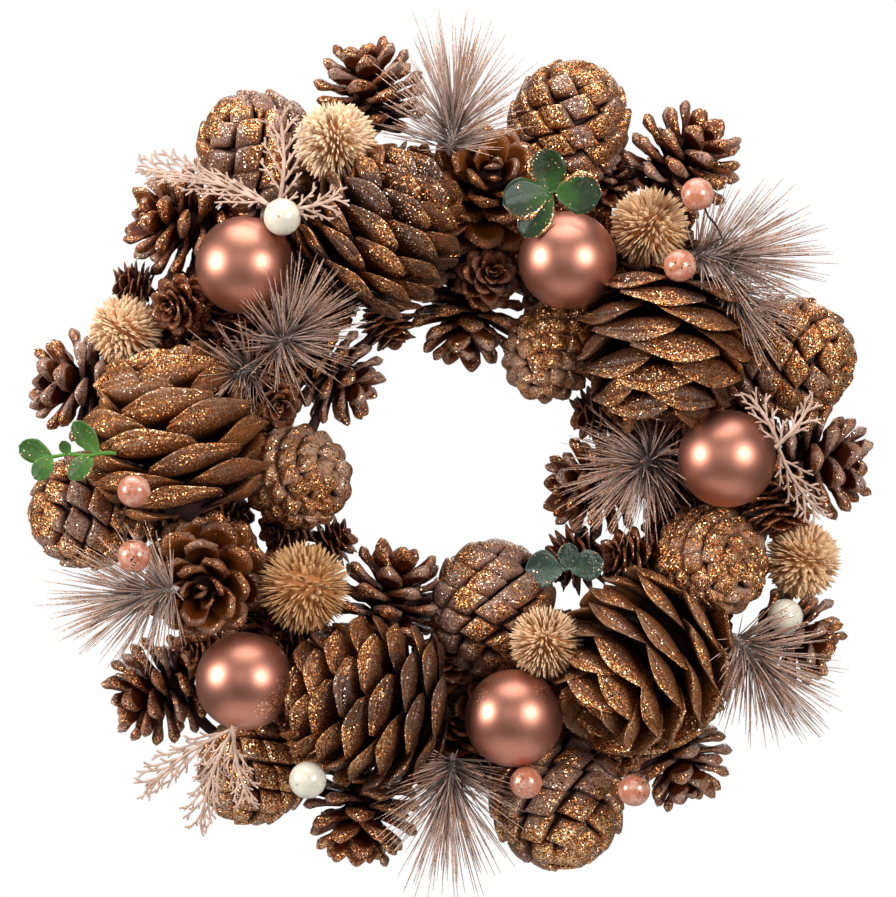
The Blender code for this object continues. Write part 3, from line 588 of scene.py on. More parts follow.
def new_tree(name, sockets):
    """A Geometry Nodes tree with these inputs after its geometry; gives it, its adder and its inputs."""
    tree = bpy.data.node_groups.new(name, "GeometryNodeTree")
    for label, kind in {"Geometry": "Geometry", **sockets}.items():
        tree.interface.new_socket(label, in_out="INPUT", socket_type="NodeSocket" + kind)
    tree.interface.new_socket("Geometry", in_out="OUTPUT", socket_type="NodeSocketGeometry")
    return tree, partial(add, tree), add(tree, "NodeGroupInput").outputs


def finish_tree(put, made, finish):
    """Makes a tree's copies real and gives them their material."""
    real = put("GeometryNodeRealizeInstances", {"Geometry": made})
    put("NodeGroupOutput", [put("GeometryNodeSetMaterial", {"Geometry": real, "Material": finish})])


def standing_tree():
    """A tree that stands a copy of one shape on each point, turned and sized by the point's attributes."""
    name = "Stand a shape on each point"
    if name in bpy.data.node_groups:
        return bpy.data.node_groups[name]
    tree, put, given = new_tree(
        name, {"Shape": "Object", "Finish": "Material", "Size": "Float", "Sway": "Float", "Seed": "Int"}
    )
    shape = put("GeometryNodeObjectInfo", {"Object": given["Shape"]})
    turn = put("GeometryNodeInputNamedAttribute", {"Name": "turn"}, data_type="FLOAT_VECTOR")
    size = put("GeometryNodeInputNamedAttribute", {"Name": "size"}, data_type="FLOAT_VECTOR")
    sized = put(VECTOR_MATH, {0: size, "Scale": given["Size"]}, operation="SCALE")
    low, high = (
        put(VECTOR_MATH, {0: (end, end, end), "Scale": given["Sway"]}, operation="SCALE") for end in (-1, 1)
    )
    sway = put("FunctionNodeRandomValue", {0: low, 1: high, "Seed": given["Seed"]}, data_type="FLOAT_VECTOR")
    turned, swayed = (put("FunctionNodeEulerToRotation", [angles]) for angles in (turn, sway))
    rotation = put("FunctionNodeRotateRotation", (turned, swayed), rotation_space="LOCAL")
    copies = put(
        "GeometryNodeInstanceOnPoints",
        {"Points": given["Geometry"], "Instance": shape.outputs["Geometry"], "Rotation": rotation, "Scale": sized},
    )
    finish_tree(put, copies, given["Finish"])
    return tree


def twig_tree():
    """A tree that gives a net of edges a round body, with its thickness from the points' size."""
    name = "Thicken twigs"
    if name in bpy.data.node_groups:
        return bpy.data.node_groups[name]
    tree, put, given = new_tree(name, {"Thickness": "Float", "Sides": "Int", "Finish": "Material"})
    lines = put("GeometryNodeMeshToCurve", {"Mesh": given["Geometry"]})
    width = put("GeometryNodeInputNamedAttribute", {"Name": "size"}, data_type="FLOAT")
    thick = put("GeometryNodeSetCurveRadius", {"Curve": lines, "Radius": width})
    ring = put(
        "GeometryNodeCurvePrimitiveCircle", {"Resolution": given["Sides"], "Radius": given["Thickness"]}, mode="RADIUS"
    )
    body = put("GeometryNodeCurveToMesh", {"Curve": thick, "Profile Curve": ring, "Fill Caps": True})
    if "Scale" in body.inputs:
        feed(body, {"Scale": width})
    finish_tree(put, body, given["Finish"])
    return tree


def grow(thing, tree, **values):
    """Runs a tree on an object with these inputs, and keeps the plain mesh."""
    modifier = thing.modifiers.new("grow", "NODES")
    modifier.node_group = tree
    for item in tree.interface.items_tree:
        if item.item_type == "SOCKET" and item.in_out == "INPUT" and item.name in values:
            modifier[item.identifier] = values[item.name]
    return plain(thing)


Perch = namedtuple("Perch", "at across up out size tone")


def stand(name, perches, shape, finish, size=1.0, sway=0.0, seed=1):
    """Copies of a shape on their perches, as one plain mesh object in metres."""
    mesh = new_mesh(name, [p.at * MM for p in perches])
    set_field(mesh, "turn", [Matrix((p.across, p.up, p.out)).transposed().to_euler() for p in perches])
    set_field(mesh, "size", [[s * MM for s in p.size] for p in perches])
    set_field(mesh, "tone", [p.tone for p in perches])
    return grow(
        new_object(name, mesh), standing_tree(),
        Shape=shape, Finish=finish, Size=size, Sway=math.radians(sway), Seed=seed,
    )


# ---------------------------------------------------------------- finishes


def new_material(name, *fields):
    """A new material, its shader, what adds its nodes, its coordinates, and these attributes' values."""
    material = bpy.data.materials.new(name)
    material.use_nodes = True
    put = partial(add, material.node_tree)
    place = put("ShaderNodeTexCoord").outputs["Object"]
    values = [put("ShaderNodeAttribute", attribute_name=field).outputs["Fac"] for field in fields]
    return material, material.node_tree.nodes["Principled BSDF"], put, place, *values


def grain_parts(put):
    """A repeated shape's own coordinates, one by one."""
    grain = put("ShaderNodeAttribute", attribute_name="grain").outputs["Vector"]
    return put("ShaderNodeSeparateXYZ", [grain]).outputs


def steps_of(put, value, colours):
    """A ramp that gives one of these colours, by the value."""
    ramp = put("ShaderNodeValToRGB", [value])
    ramp.color_ramp.interpolation = "CONSTANT"
    while len(ramp.color_ramp.elements) < len(colours):
        ramp.color_ramp.elements.new(0.5)
    for number, (element, colour) in enumerate(zip(ramp.color_ramp.elements, colours)):
        element.position = number / len(colours)
        element.color = linear(colour)
    return ramp


def glitter(put, place, amount, grit, colours, gilded=None):
    """Flakes of glitter: a share of the cells of a cell pattern, each with its own colour and its own tilt.

    gilded is the share of the coloured flakes; the others are silver frost.
    """
    cells = put("ShaderNodeTexVoronoi", {"Vector": place, "Scale": 1 / (grit * MM), "Randomness": 1}).outputs["Color"]
    parts = put("ShaderNodeSeparateColor", [cells]).outputs
    total = put(MATH, (parts[0], amount), operation="ADD")
    flake = put(MATH, (total, 1.0), operation="GREATER_THAN")
    colour = steps_of(put, parts[1], colours)
    if gilded is not None:
        frost = steps_of(put, parts[1], FROST)
        either = put(MATH, (parts[2], gilded), operation="LESS_THAN")
        colour = put(MIX, {0: either, 6: frost, 7: colour}, data_type="RGBA")
    normal = put("ShaderNodeNewGeometry").outputs["Normal"]
    tilt = put(VECTOR_MATH, (cells, (0.5, 0.5, 0.5)), operation="SUBTRACT")
    lean = put(VECTOR_MATH, {0: tilt, "Scale": 1.3}, operation="SCALE")
    leaning = put(VECTOR_MATH, (normal, lean), operation="ADD")
    return flake, colour, put(VECTOR_MATH, [leaning], operation="NORMALIZE")


# frosting and patch are the shares of the surface that frost and gilt glitter cover at most, flakes everywhere.
# root is the painted shade colour that a scale's foot and the lower part of its face are darkened to.
ConeLook = namedtuple("ConeLook", "root wood pale frost frosting flakes patch bare glitter roughness")
GOLD = ("#86421c", "#cc8548", "#f3c088", "#ad6228", "#ffe6c2", "#64300f")
COPPER = ("#7d3f22", "#b86e3c", "#e8aa70", "#9a5028", "#ffdcb4", "#4f2412")
FROST = ("#8a6c5c", "#b59686", "#5f4234", "#dfc6b8", "#9a7868", "#fff0e2")
CONE_LOOKS = {
    "broad_cone_scales": ConeLook("#1c0400", "#52270a", "#865021", "#966a48", 0.55, 0.15, 0.75, 0.4, GOLD, 0.5),
    # The darker of the two broad finishes copies the other, a little darker all through: painted shade for the broad
    # cones that catch the most light.
    "deep_cone_scales": ConeLook("#180300", "#321403", "#562f10", "#66442e", 0.5, 0.14, 0.7, 0.4, GOLD, 0.5),
    "open_cone_scales": ConeLook("#280500", "#5a200a", "#9a4e20", "#ab8c7c", 0.85, 0.02, 0.65, 0.04, COPPER, 0.3),
    "amber_cone_scales": ConeLook("#280800", "#60270a", "#a05a24", "#a07e66", 0.65, 0.0, 0.5, 0.0, COPPER, 0.28),
    "roofed_cone_scales": ConeLook("#240700", "#582a12", "#84502c", "#967466", 0.8, 0.18, 0.9, 0.75, GOLD, 0.42),
    "closed_cone_scales": ConeLook("#240700", "#84481e", "#bc7e40", "#c4a390", 0.65, 0.18, 0.9, 0.6, GOLD, 0.42),
    "larch_cone_scales": ConeLook("#1c0400", "#401406", "#6e3012", "#9a6a4c", 0.5, 0.0, 0.4, 0.0, COPPER, 0.3),
}


def cone_material(name):
    """Dried cone wood, sprayed with frost and glitter along its rims.

    The wood is dull to half glossy and streaked along each scale; its foot and the lower part of each face are
    darkened to red-brown as painted shade. Frost and silver grit lie on what stands out, gilt grit in patches. The
    grit is drawn at 0.45 mm where real grit is 0.3 mm.
    """
    if name in bpy.data.materials:
        return bpy.data.materials[name]
    look = CONE_LOOKS[name]
    material, shader, put, place, tone, rim = new_material(name, "tone", "rim")
    across, height, outwards = grain_parts(put)
    # Streaks run out along a scale: fine across, long outwards.
    shifted = put("ShaderNodeCombineXYZ", (across, tone, outwards))
    stretched = put(VECTOR_MATH, (shifted, (12, 40, 1.2)), operation="MULTIPLY")
    streaks = put(NOISE, {"Vector": stretched, "Scale": 1.5, "Detail": 4})
    blotches = put(NOISE, {"Vector": place, "Scale": 130, "Detail": 3})
    # root rises from a scale's foot outwards: it sets where the painted shade lies, and keeps grit off the foot.
    root = put(MAP, (outwards, 0.3, 0.9))
    mixed = put(MATH, (streaks, tone), operation="ADD")
    lighter = put(MAP, (mixed, 0.45, 1.4))
    wood = put(MIX, {0: lighter, 6: look.wood, 7: look.pale}, data_type="RGBA")
    # Painted shade: the foot of a scale and the lower part of its face are darkened towards the root colour, where
    # shade falls between the scales.
    low = put(MAP, (height, -0.5, 0.1, 0.35, 1))
    near = put(MATH, (root, low), operation="MULTIPLY")
    body = put(MIX, {0: near, 6: look.root, 7: wood}, data_type="RGBA")
    # bare is how much of the flat wood takes frost and grit too.
    raised = put(MAP, (rim, 0, 0.9, look.bare, 1))
    frosty = put(MATH, (blotches, raised), operation="MULTIPLY")
    frosted = put(MAP, (frosty, 0.25, 0.55, 0, look.frosting))
    coat = put(MIX, {0: frosted, 6: body, 7: look.frost}, data_type="RGBA")
    patches = put(NOISE, {"Vector": place, "Scale": 42, "Detail": 2})
    patch = put(MAP, (patches, 0.42, 0.6))
    gilt = put(MATH, (patch, raised), operation="MULTIPLY")
    grit = put(MATH, (frosted, 0.4, look.flakes), operation="MULTIPLY_ADD")
    amount = put(MATH, (gilt, look.patch, grit), operation="MULTIPLY_ADD")
    amount = put(MATH, (amount, root), operation="MULTIPLY")
    gilded = put(MAP, (patches, 0.4, 0.5, 0.25, 1))
    flake, colour, facing = glitter(put, place, amount, 0.45, look.glitter, gilded)
    rust = put(MATH, (gilt, 0.5), operation="MULTIPLY")
    under = put(MIX, {0: rust, 6: coat, 7: "#82431e"}, data_type="RGBA")
    bumps = put(BUMP, {"Height": streaks, "Strength": 0.7, "Distance": 0.0007})
    feed(shader, {
        "Base Color": put(MIX, {0: flake, 6: under, 7: colour}, data_type="RGBA"),
        "Roughness": put(MAP, (flake, 0, 1, look.roughness, 0.3)),
        "Metallic": put(MATH, (flake, 0.85), operation="MULTIPLY"),
        "Normal": put(MIX, {0: flake, 4: bumps, 5: facing}, data_type="VECTOR"),
        "Specular IOR Level": 0.35,
    })
    return material


def bauble_material(name, colour, dust):
    """Glass ball with a satin metal lacquer: an even metal with a broad soft shine and very fine grain.

    Loose glitter sticks to it round the places in dust.
    """
    material, shader, put, place = new_material(name)
    fine = put(NOISE, {"Vector": place, "Scale": 1600, "Detail": 2})
    uneven = put(NOISE, {"Vector": place, "Scale": 60, "Detail": 2})
    feed(shader, {
        "Base Color": colour, "Metallic": 1, "Coat Weight": 0.45, "Coat Roughness": 0.42,
        "Roughness": put(MAP, (uneven, 0.3, 0.7, 0.38, 0.44)),
        "Normal": put(BUMP, {"Height": fine, "Strength": 0.12, "Distance": 0.0002}),
    })
    for x, z, out, radius in dust:
        gap = put(VECTOR_MATH, (place, tuple(position(x, z, out) * MM)), operation="DISTANCE")
        near = put(MAP, (gap, 0, radius * MM, 0.6, 0))
        flake, tint, _ = glitter(put, place, near, 0.5, COPPER)
        colour = put(MIX, {0: flake, 6: colour, 7: tint}, data_type="RGBA")
        feed(shader, {"Base Color": colour})
    return material


def bead_material(name, colour, flakes, coat):
    """A moulded bead with a pearl lacquer: smooth, softly clouded, with a clear gloss and a little glitter."""
    material, shader, put, place = new_material(name)
    clouds = put(NOISE, {"Vector": place, "Scale": 300, "Detail": 3})
    pale = put(MAP, (clouds, 0.45, 0.75, 0, 0.3))
    body = put(MIX, {0: pale, 6: colour, 7: "#fff6ea"}, data_type="RGBA")
    patches = put(NOISE, {"Vector": place, "Scale": 120, "Detail": 1})
    amount = put(MAP, (patches, 0.5, 0.68, 0, flakes))
    flake, glint, _ = glitter(put, place, amount, 0.55, GOLD)
    feed(shader, {
        "Base Color": put(MIX, {0: flake, 6: body, 7: glint}, data_type="RGBA"),
        "Metallic": flake, "Roughness": 0.3, "Coat Weight": coat, "Coat Roughness": 0.08,
    })
    return material


def bloom_material(colour, root):
    """Dried bracts: papery and matt, cream with rusty feet and a few rusty flecks."""
    material, shader, put, place, rim, tone = new_material("dried_bracts", "rim", "tone")
    flecks = put(NOISE, {"Vector": place, "Scale": 420, "Detail": 3})
    share = put(MAP, (rim, 0, 0.5))
    body = put(MIX, {0: share, 6: root, 7: colour}, data_type="RGBA")
    pale = put(MIX, {0: tone, 6: body, 7: "#f0d2ae"}, data_type="RGBA")
    rust = put(MAP, (flecks, 0.58, 0.72, 0, 0.5))
    feed(shader, {
        "Base Color": put(MIX, {0: rust, 6: pale, 7: "#a8652f"}, data_type="RGBA"),
        "Roughness": 0.75, "Subsurface Weight": 0.2, "Subsurface Radius": (0.003, 0.002, 0.001),
    })
    return material


def needle_material():
    """Moulded plastic needles with a sprayed frost: grey at the root, pale mauve further out, glitter at the tip."""
    material, shader, put, place, rim, tone = new_material("frosted_plastic_needles", "rim", "tone")
    share = put(MAP, (rim, 0.05, 0.6))
    body = put(MIX, {0: share, 6: "#a89a92", 7: "#bca193"}, data_type="RGBA")
    brown = put(MAP, (tone, 0.55, 1, 0, 0.7))
    tinted = put(MIX, {0: brown, 6: body, 7: "#99603c"}, data_type="RGBA")
    amount = put(MAP, (rim, 0.35, 1, 0, 0.4))
    flake, colour, _ = glitter(put, place, amount, 0.5, COPPER)
    feed(shader, {
        "Base Color": put(MIX, {0: flake, 6: tinted, 7: colour}, data_type="RGBA"),
        "Metallic": put(MATH, (flake, 0.7), operation="MULTIPLY"),
        "Roughness": 0.45,
    })
    return material


def cedar_material():
    """Moulded plastic twigs flocked with fine frost: matt, pinkish beige and grainy."""
    material, shader, put, place = new_material("flocked_twigs")
    grains = put(NOISE, {"Vector": place, "Scale": 1500, "Detail": 3})
    cloud = put(NOISE, {"Vector": place, "Scale": 200, "Detail": 2})
    shade = put(MAP, (cloud, 0.3, 0.7))
    feed(shader, {
        "Base Color": put(MIX, {0: shade, 6: "#a38371", 7: "#d0b19e"}, data_type="RGBA"),
        "Normal": put(BUMP, {"Height": grains, "Strength": 0.7, "Distance": 0.0005}),
        "Roughness": 0.85,
    })
    return material


# foot, blade, frost, the share of frost, and how much of the one edge glitters.
LEAF_LOOKS = {
    "dark": ("#2f561e", "#16280f", "#475a3e", 0.25, 0.75),
    "light": ("#4b7a2a", "#2f5520", "#8a9c6c", 0.15, 0.12),
    "frosted": ("#38503c", "#24362b", "#82938a", 0.6, 0.15),
}


def leaf_material(kind):
    """Soft plastic leaf, half matt: bright at its foot, dark at its tip, with frost and glitter along one edge."""
    foot, blade, frost, edge_share, flakes = LEAF_LOOKS[kind]
    material, shader, put, place, rim = new_material(f"{kind}_plastic_leaf", "rim")
    along, across, _ = grain_parts(put)
    clouds = put(NOISE, {"Vector": place, "Scale": 160, "Detail": 3})
    distance = put(MATH, (along, clouds), operation="ADD")
    dark = put(MAP, (distance, 0.5, 1.1))
    body = put(MIX, {0: dark, 6: foot, 7: blade}, data_type="RGBA")
    grains = put(NOISE, {"Vector": place, "Scale": 1100, "Detail": 2})
    bloomed = put(MATH, (grains, clouds), operation="MULTIPLY")
    bloom = put(MAP, (bloomed, 0.22, 0.4, 0, edge_share))
    line = put(MAP, (rim, 0.92, 1, 0, 0.6))
    pale = put(MATH, (line, bloom), operation="MAXIMUM")
    edged = put(MIX, {0: pale, 6: body, 7: frost}, data_type="RGBA")
    band = put(MATH, (rim, across), operation="ADD")
    amount = put(MAP, (band, 0.95, 1.2, 0.02, flakes))
    flake, colour, _ = glitter(put, place, amount, 0.45, GOLD)
    feed(shader, {
        "Base Color": put(MIX, {0: flake, 6: edged, 7: colour}, data_type="RGBA"),
        "Metallic": put(MATH, (flake, 0.8), operation="MULTIPLY"),
        "Normal": put(BUMP, {"Height": grains, "Strength": 0.25, "Distance": 0.0003}),
        "Roughness": 0.4, "Specular IOR Level": 0.3,
    })
    return material


def straw_material():
    """Pressed straw: dry stalks, dull, from grey brown to gold, each streaked along its length; the browns are kept
    dark, with near-black flecks, as painted shade where the ring shows between the pieces.
    """
    material, shader, put, place, tone = new_material("pressed_straw", "tone")
    fibres = put(NOISE, {"Vector": place, "Scale": 700, "Detail": 3})
    # Streaks follow the ring: 1.7 mm across, as the stalks are, and a few centimetres long.
    centred = put(VECTOR_MATH, (place, tuple(-RING_CENTRE * MM)), operation="ADD")
    flat = put(VECTOR_MATH, (centred, (1, 0, 1)), operation="MULTIPLY")
    from_middle = put(VECTOR_MATH, [flat], operation="LENGTH")
    x, y, z = put("ShaderNodeSeparateXYZ", [centred]).outputs
    turn = put(MATH, (x, z), operation="ARCTAN2")
    around = put("ShaderNodeCombineXYZ", (turn, from_middle, y))
    run = put(VECTOR_MATH, (around, (5, 600, 600)), operation="MULTIPLY")
    streaks = put(NOISE, {"Vector": run, "Scale": 1, "Detail": 2})
    streak = put(MAP, (streaks, 0.35, 0.65, -0.4, 0.5))
    shade = put(MATH, (tone, streak), operation="ADD", use_clamp=True)
    body = put(MIX, {0: shade, 6: "#3a2411", 7: "#86633a"}, data_type="RGBA")
    # Near-black flecks: painted shade where the ring shows between the pieces, on top of the straw's own streaks.
    dark = put(MAP, (fibres, 0.5, 0.75, 0, 0.5))
    feed(shader, {
        "Base Color": put(MIX, {0: dark, 6: body, 7: "#240a02"}, data_type="RGBA"),
        "Normal": put(BUMP, {"Height": fibres, "Strength": 0.4, "Distance": 0.0004}),
        "Roughness": 0.8,
    })
    return material


def core_material():
    """Bark-brown cone heart and twig: dull, and kept nearly black as painted shade where the heart shows between the
    scales.
    """
    if "cone_heart" in bpy.data.materials:
        return bpy.data.materials["cone_heart"]
    material, shader, put, place = new_material("cone_heart")
    fibres = put(NOISE, {"Vector": place, "Scale": 500, "Detail": 4})
    # The near-black browns are painted shade for the heart seen between the scales.
    feed(shader, {
        "Base Color": put(MIX, {0: fibres, 6: "#1a0400", 7: "#3a1204"}, data_type="RGBA"),
        "Normal": put(BUMP, {"Height": fibres, "Strength": 0.5, "Distance": 0.0006}),
        "Roughness": 0.85,
    })
    return material


# ---------------------------------------------------------------- cones


class Spiral:
    """The golden-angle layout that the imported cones, heads and tufts were made by."""

    def __init__(self, core_length, core_radius, count, families=(3, 5), hand=1, cap=0):
        self.step, self.cap = hand * GOLDEN_ANGLE, cap
        self.core_length, self.core_radius, self.count = core_length, core_radius, count
        self.high = sum(families) / 2
        self.side = (families[1] - families[0]) / 2

    def share(self, index):
        """How far up the core a cell sits; the caps' cells share each rounded end by area."""
        if not self.cap or 0 <= index < self.count:
            return (index + self.high + 0.5) / (self.count + 2 * self.high)
        at_tip = index >= self.count
        rim = 1 - abs(2 * self.share(self.count - 1 if at_tip else 0) - 1) ** ROUNDING
        left = (self.count + self.cap - index - 0.5 if at_tip else self.cap + index + 0.5) / self.cap
        reach = 0.5 * (1 - rim * left) ** (1 / ROUNDING)
        return 0.5 + reach if at_tip else 0.5 - reach

    def radius(self, share):
        return self.core_radius * (1 - min(abs(2 * share - 1), 1) ** ROUNDING) ** 0.5

    def centre(self, cell):
        share, angle = self.share(cell), cell * self.step
        radius = self.radius(share)
        return Vector((radius * math.cos(angle), radius * math.sin(angle), self.core_length * share))

    def slope(self, share):
        """The angle from the axis, in degrees, at which the core's surface faces here."""
        low, high = self.radius(share - 0.01), self.radius(share + 0.01)
        return math.degrees(math.atan2(0.02 * self.core_length, low - high))

    def axes(self, cell, tilt):
        """Round the core, up the scale and outwards, for a scale at this tilt from the axis."""
        angle, tilt = cell * self.step, math.radians(tilt)
        radial = Vector((math.cos(angle), math.sin(angle), 0))
        around = Vector((-math.sin(angle), math.cos(angle), 0))
        outward = radial * math.sin(tilt) + Vector((0, 0, math.cos(tilt)))
        upward = Vector((0, 0, math.sin(tilt))) - radial * math.cos(tilt)
        return around, upward, outward


def solid(name, points, faces, finish):
    """A plain smooth mesh object in one finish."""
    mesh = new_mesh(name, points, faces)
    mesh.shade_smooth()
    mesh.materials.append(finish)
    return new_object(name, mesh)


def lathe(name, profile, matrix, finish, steps=20):
    """A closed turned form from (radius, height) pairs, placed in metres."""
    points = []
    for radius, height in profile:
        for step in range(steps):
            angle = 2 * math.pi * step / steps
            points.append(matrix @ Vector((radius * math.cos(angle), radius * math.sin(angle), height)) * MM)
    return solid(name, points, tube_faces(len(profile), steps), finish)


def cone_layout(kind, place):
    """The cone's matrix and spiral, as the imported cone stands."""
    core = (kind.core_length * place.size, kind.core_radius * place.size)
    spiral = Spiral(*core, kind.packed)
    ends = []
    for cell in range(kind.packed):
        share = spiral.share(cell)
        around, upward, outward = spiral.axes(cell, between(kind.tilt, share))
        end = spiral.centre(cell) + outward * between(kind.length, share) * place.size
        half = between(HALF_THICK.get(kind, (0, 0, 0)), share) * place.size
        ends += [end.z - half * upward.z, end.z + half * upward.z]
    if kind is ROOFED:
        core = (TILED[0] * place.size, TILED[1] * place.size)
        return stance(place) @ Matrix.Translation((0, 0, -core[0] / 2)), Spiral(*core, kind.count, cap=7)
    matrix = stance(place) @ Matrix.Translation((0, 0, -(min(ends) + max(ends)) / 2))
    return matrix, Spiral(*core, kind.count, cap=5 if kind is CLOSED else 0)


def build_cone(name, node, kind, place, shape, finish, seed, broad=None):
    """One cone: its heart and its scales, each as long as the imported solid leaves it."""
    matrix, spiral = cone_layout(kind, place)
    twist = 0
    if broad:
        twist = broad.twist
        spiral = Spiral(spiral.core_length, spiral.core_radius, broad.count, hand=broad.hand)
        wider = [width * broad.wide for width in kind.width]
        kind = kind._replace(count=broad.count, width=wider, thick=[thick * broad.thick for thick in kind.thick])
    lengths, widths, thicks = TILED[2:] if kind is ROOFED else (kind.length, kind.width, kind.thick)
    shut = kind in (CLOSED, ROOFED)
    turn = matrix.to_3x3()
    chance = random.Random(seed)
    perches = []
    for cell in range(-(spiral.cap or 2), kind.count + (spiral.cap or 4)):
        share = spiral.share(cell)
        if not spiral.cap and not 0.02 < share < 0.99:
            continue
        around, upward, outward = spiral.axes(cell, spiral.slope(share) if shut else between(kind.tilt, share))
        rolled = Matrix.Rotation(math.radians(twist + chance.uniform(-4, 4)), 3, outward)
        around, upward = rolled @ around, rolled @ upward
        length = between(lengths, share) * place.size
        fade = reach = 1.0
        if not shut:
            full = length + kind.bulge * place.size
            packed = kind.count == kind.packed and 0 <= cell < kind.count
            measure = neighbours.own_reach if packed else neighbours.free_length
            reach = max(measure(node, matrix @ spiral.centre(cell), turn @ outward, full) / full, 0.3)
            if cell >= kind.count:
                fade = 0.8 - 0.1 * (cell - kind.count)
            elif cell < 0:
                fade = 0.75
        width = between(widths, share) * place.size * fade
        thick = between(thicks, share) * place.size * fade
        sunk = 0.12 * length
        at = matrix @ (spiral.centre(cell) - outward * sunk)
        size = (width * (0.6 + 0.4 * reach), thick, (length * reach + sunk) * fade)
        perches.append(Perch(at, turn @ around, turn @ upward, turn @ outward, size, chance.random()))
    tip = matrix @ Vector((0, 0, spiral.core_length * 0.97))
    size = (widths[2] * 0.7 * place.size, thicks[2] * 0.7 * place.size, lengths[2] * 0.45 * place.size)
    perches.append(Perch(tip, *turn.col, size, 0.5))
    scales = stand(name + "_scales", perches, shape, finish, sway=2.5, seed=seed)
    rings = [(spiral.radius(step / 12) * 0.96, spiral.core_length * (step / 12)) for step in range(1, 12)]
    core = [(0.05, 0.0), *rings, (0.05, spiral.core_length)]
    steps = 8 if kind is FILLING else 12 if kind is LARCH else 20
    return [lathe(name + "_heart", core, matrix, core_material(), steps), scales]


def thickened(name, points, sizes, edges, finish, thickness=MM, sides=8):
    """A net of edges with a round body; sizes are its points' radii against the thickness."""
    mesh = new_mesh(name, points, edges=edges)
    set_field(mesh, "size", sizes)
    return grow(new_object(name, mesh), twig_tree(), Thickness=thickness, Sides=sides, Finish=finish)


def twig(name, start, end, finish, radius=2.2):
    """A crooked twig between two points in millimetres."""
    points, sizes = [], []
    for step in range(9):
        share = step / 8
        sway = Vector((math.sin(share * 9), math.cos(share * 7), math.sin(share * 11))) * 0.5
        points.append((start.lerp(end, share) + sway) * MM)
        sizes.append(radius * (1.0 + 0.15 * math.sin(share * 13)))
    return thickened(name, points, sizes, [(i, i + 1) for i in range(8)], finish)


# ---------------------------------------------------------------- settings


def length_property(name, description, default):
    return bpy.props.FloatProperty(name=name, description=description, default=default, min=0.0, unit="LENGTH")


def colour_property(name, description, code):
    return bpy.props.FloatVectorProperty(
        name=name, description=description, default=linear(code), size=4, subtype="COLOR", min=0, max=1
    )


class WreathFinishes(bpy.types.PropertyGroup):
    bauble_colour: colour_property("Bauble", "Lacquer of the baubles", "#b97a65")
    bract_colour: colour_property("Bracts", "Colour of the dried heads' bracts", "#c8965f")
    bract_root: colour_property("Bract feet", "Colour of the bracts near their feet", "#a86c34")


class WreathSizes(bpy.types.PropertyGroup):
    needle_width: length_property("Needle width", "Thickness of one frosted needle", 0.0006)
    bract_width: length_property("Bract width", "Width of one bract of a dried head", 0.0026)
    straw_width: length_property("Straw width", "Thickness of one stalk of straw", 0.0017)
    needles: bpy.props.IntProperty(name="Needles", description="Needles in one tuft", default=260, min=10, max=400)
    bracts: bpy.props.IntProperty(name="Bracts", description="Bracts in one dried head", default=560, min=20, max=1200)


class WreathStage(bpy.types.PropertyGroup):
    floor_drop: length_property("Floor drop", "How far the floor lies under the wreath's centre", 1.1)
    light: bpy.props.FloatProperty(name="Light", description="Strength of the studio lights", default=1.0, min=0)


def remove(*things):
    for thing in things:
        bpy.data.objects.remove(thing)


# ---------------------------------------------------------------- operators


class WREATH_OT_straw_ring(bpy.types.Operator):
    """Lays stalks of straw round the ring"""

    bl_idname = "wreath.straw_ring"
    bl_label = "Straw ring"

    def execute(self, context):
        chance = random.Random(7)
        finish = straw_material()
        stalk = rod_shape(
            "stalk", [(-0.5, 0.3), (-0.46, 0.5), (-0.25, 0.5), (0, 0.5), (0.25, 0.5), (0.46, 0.5), (0.5, 0.3)], 0
        )
        width = context.scene.wreath_sizes.straw_width / MM
        outline = ring_outline()
        perches = []
        for _ in range(STALKS):
            radius, out, tangent = chance.choice(outline)
            angle = chance.uniform(0, 2 * math.pi)
            radial = Vector((math.cos(angle), 0, math.sin(angle)))
            along = Vector((-math.sin(angle), 0, math.cos(angle)))
            sink = chance.uniform(0.2, 1.4)
            normal = (radial * tangent[0] + Vector((0, -1, 0)) * tangent[1]).normalized()
            at = RING_CENTRE + radial * radius + Vector((0, -out, 0)) - normal * sink
            along = (along + normal.cross(along) * chance.uniform(-0.22, 0.22)).normalized()
            across = normal.cross(along).normalized()
            length = chance.uniform(14, 26)
            normal_to_both = along.cross(across).normalized()
            size = (width, width * 0.7, length)
            perches.append(Perch(at, across, normal_to_both, along, size, chance.random()))
        straws = stand("stalks", perches, stalk, finish, seed=3)
        dress("straw_ring", "straw", ring_body(finish), straws)
        remove(stalk)
        return {"FINISHED"}


def ring_outline():
    """Places round the ring's section: radius, out and the outward direction there."""
    places = []
    for step in range(26):
        angle = 2 * math.pi * step / 26
        cos, sin = math.cos(angle), math.sin(angle)
        radius = RING_RADIUS + 16.2 * (abs(cos) ** 0.8) * (1 if cos > 0 else -1)
        out = 0.5 + (10 * sin if sin > 0 else 9.6 * sin)
        if sin < -0.5:
            out = -9.2
        places.append((radius, out, (cos, sin)))
    return places


def ring_body(finish, steps=96, sides=16):
    """The straw's packed heart, just inside the stalks."""
    points, faces = [], []
    for step in range(steps):
        angle = 2 * math.pi * step / steps
        a, b = step * sides, (step + 1) % steps * sides
        for i in range(sides):
            turn = 2 * math.pi * i / sides
            radius = RING_RADIUS + 15.5 * math.cos(turn)
            out = 0.5 + (9.5 if math.sin(turn) > 0 else 9.3) * math.sin(turn)
            spot = RING_CENTRE + Vector((radius * math.cos(angle), -out, radius * math.sin(angle)))
            points.append(spot * MM)
            j = (i + 1) % sides
            faces.append((a + i, b + i, b + j, a + j))
    return solid("ring_heart", points, faces, finish)


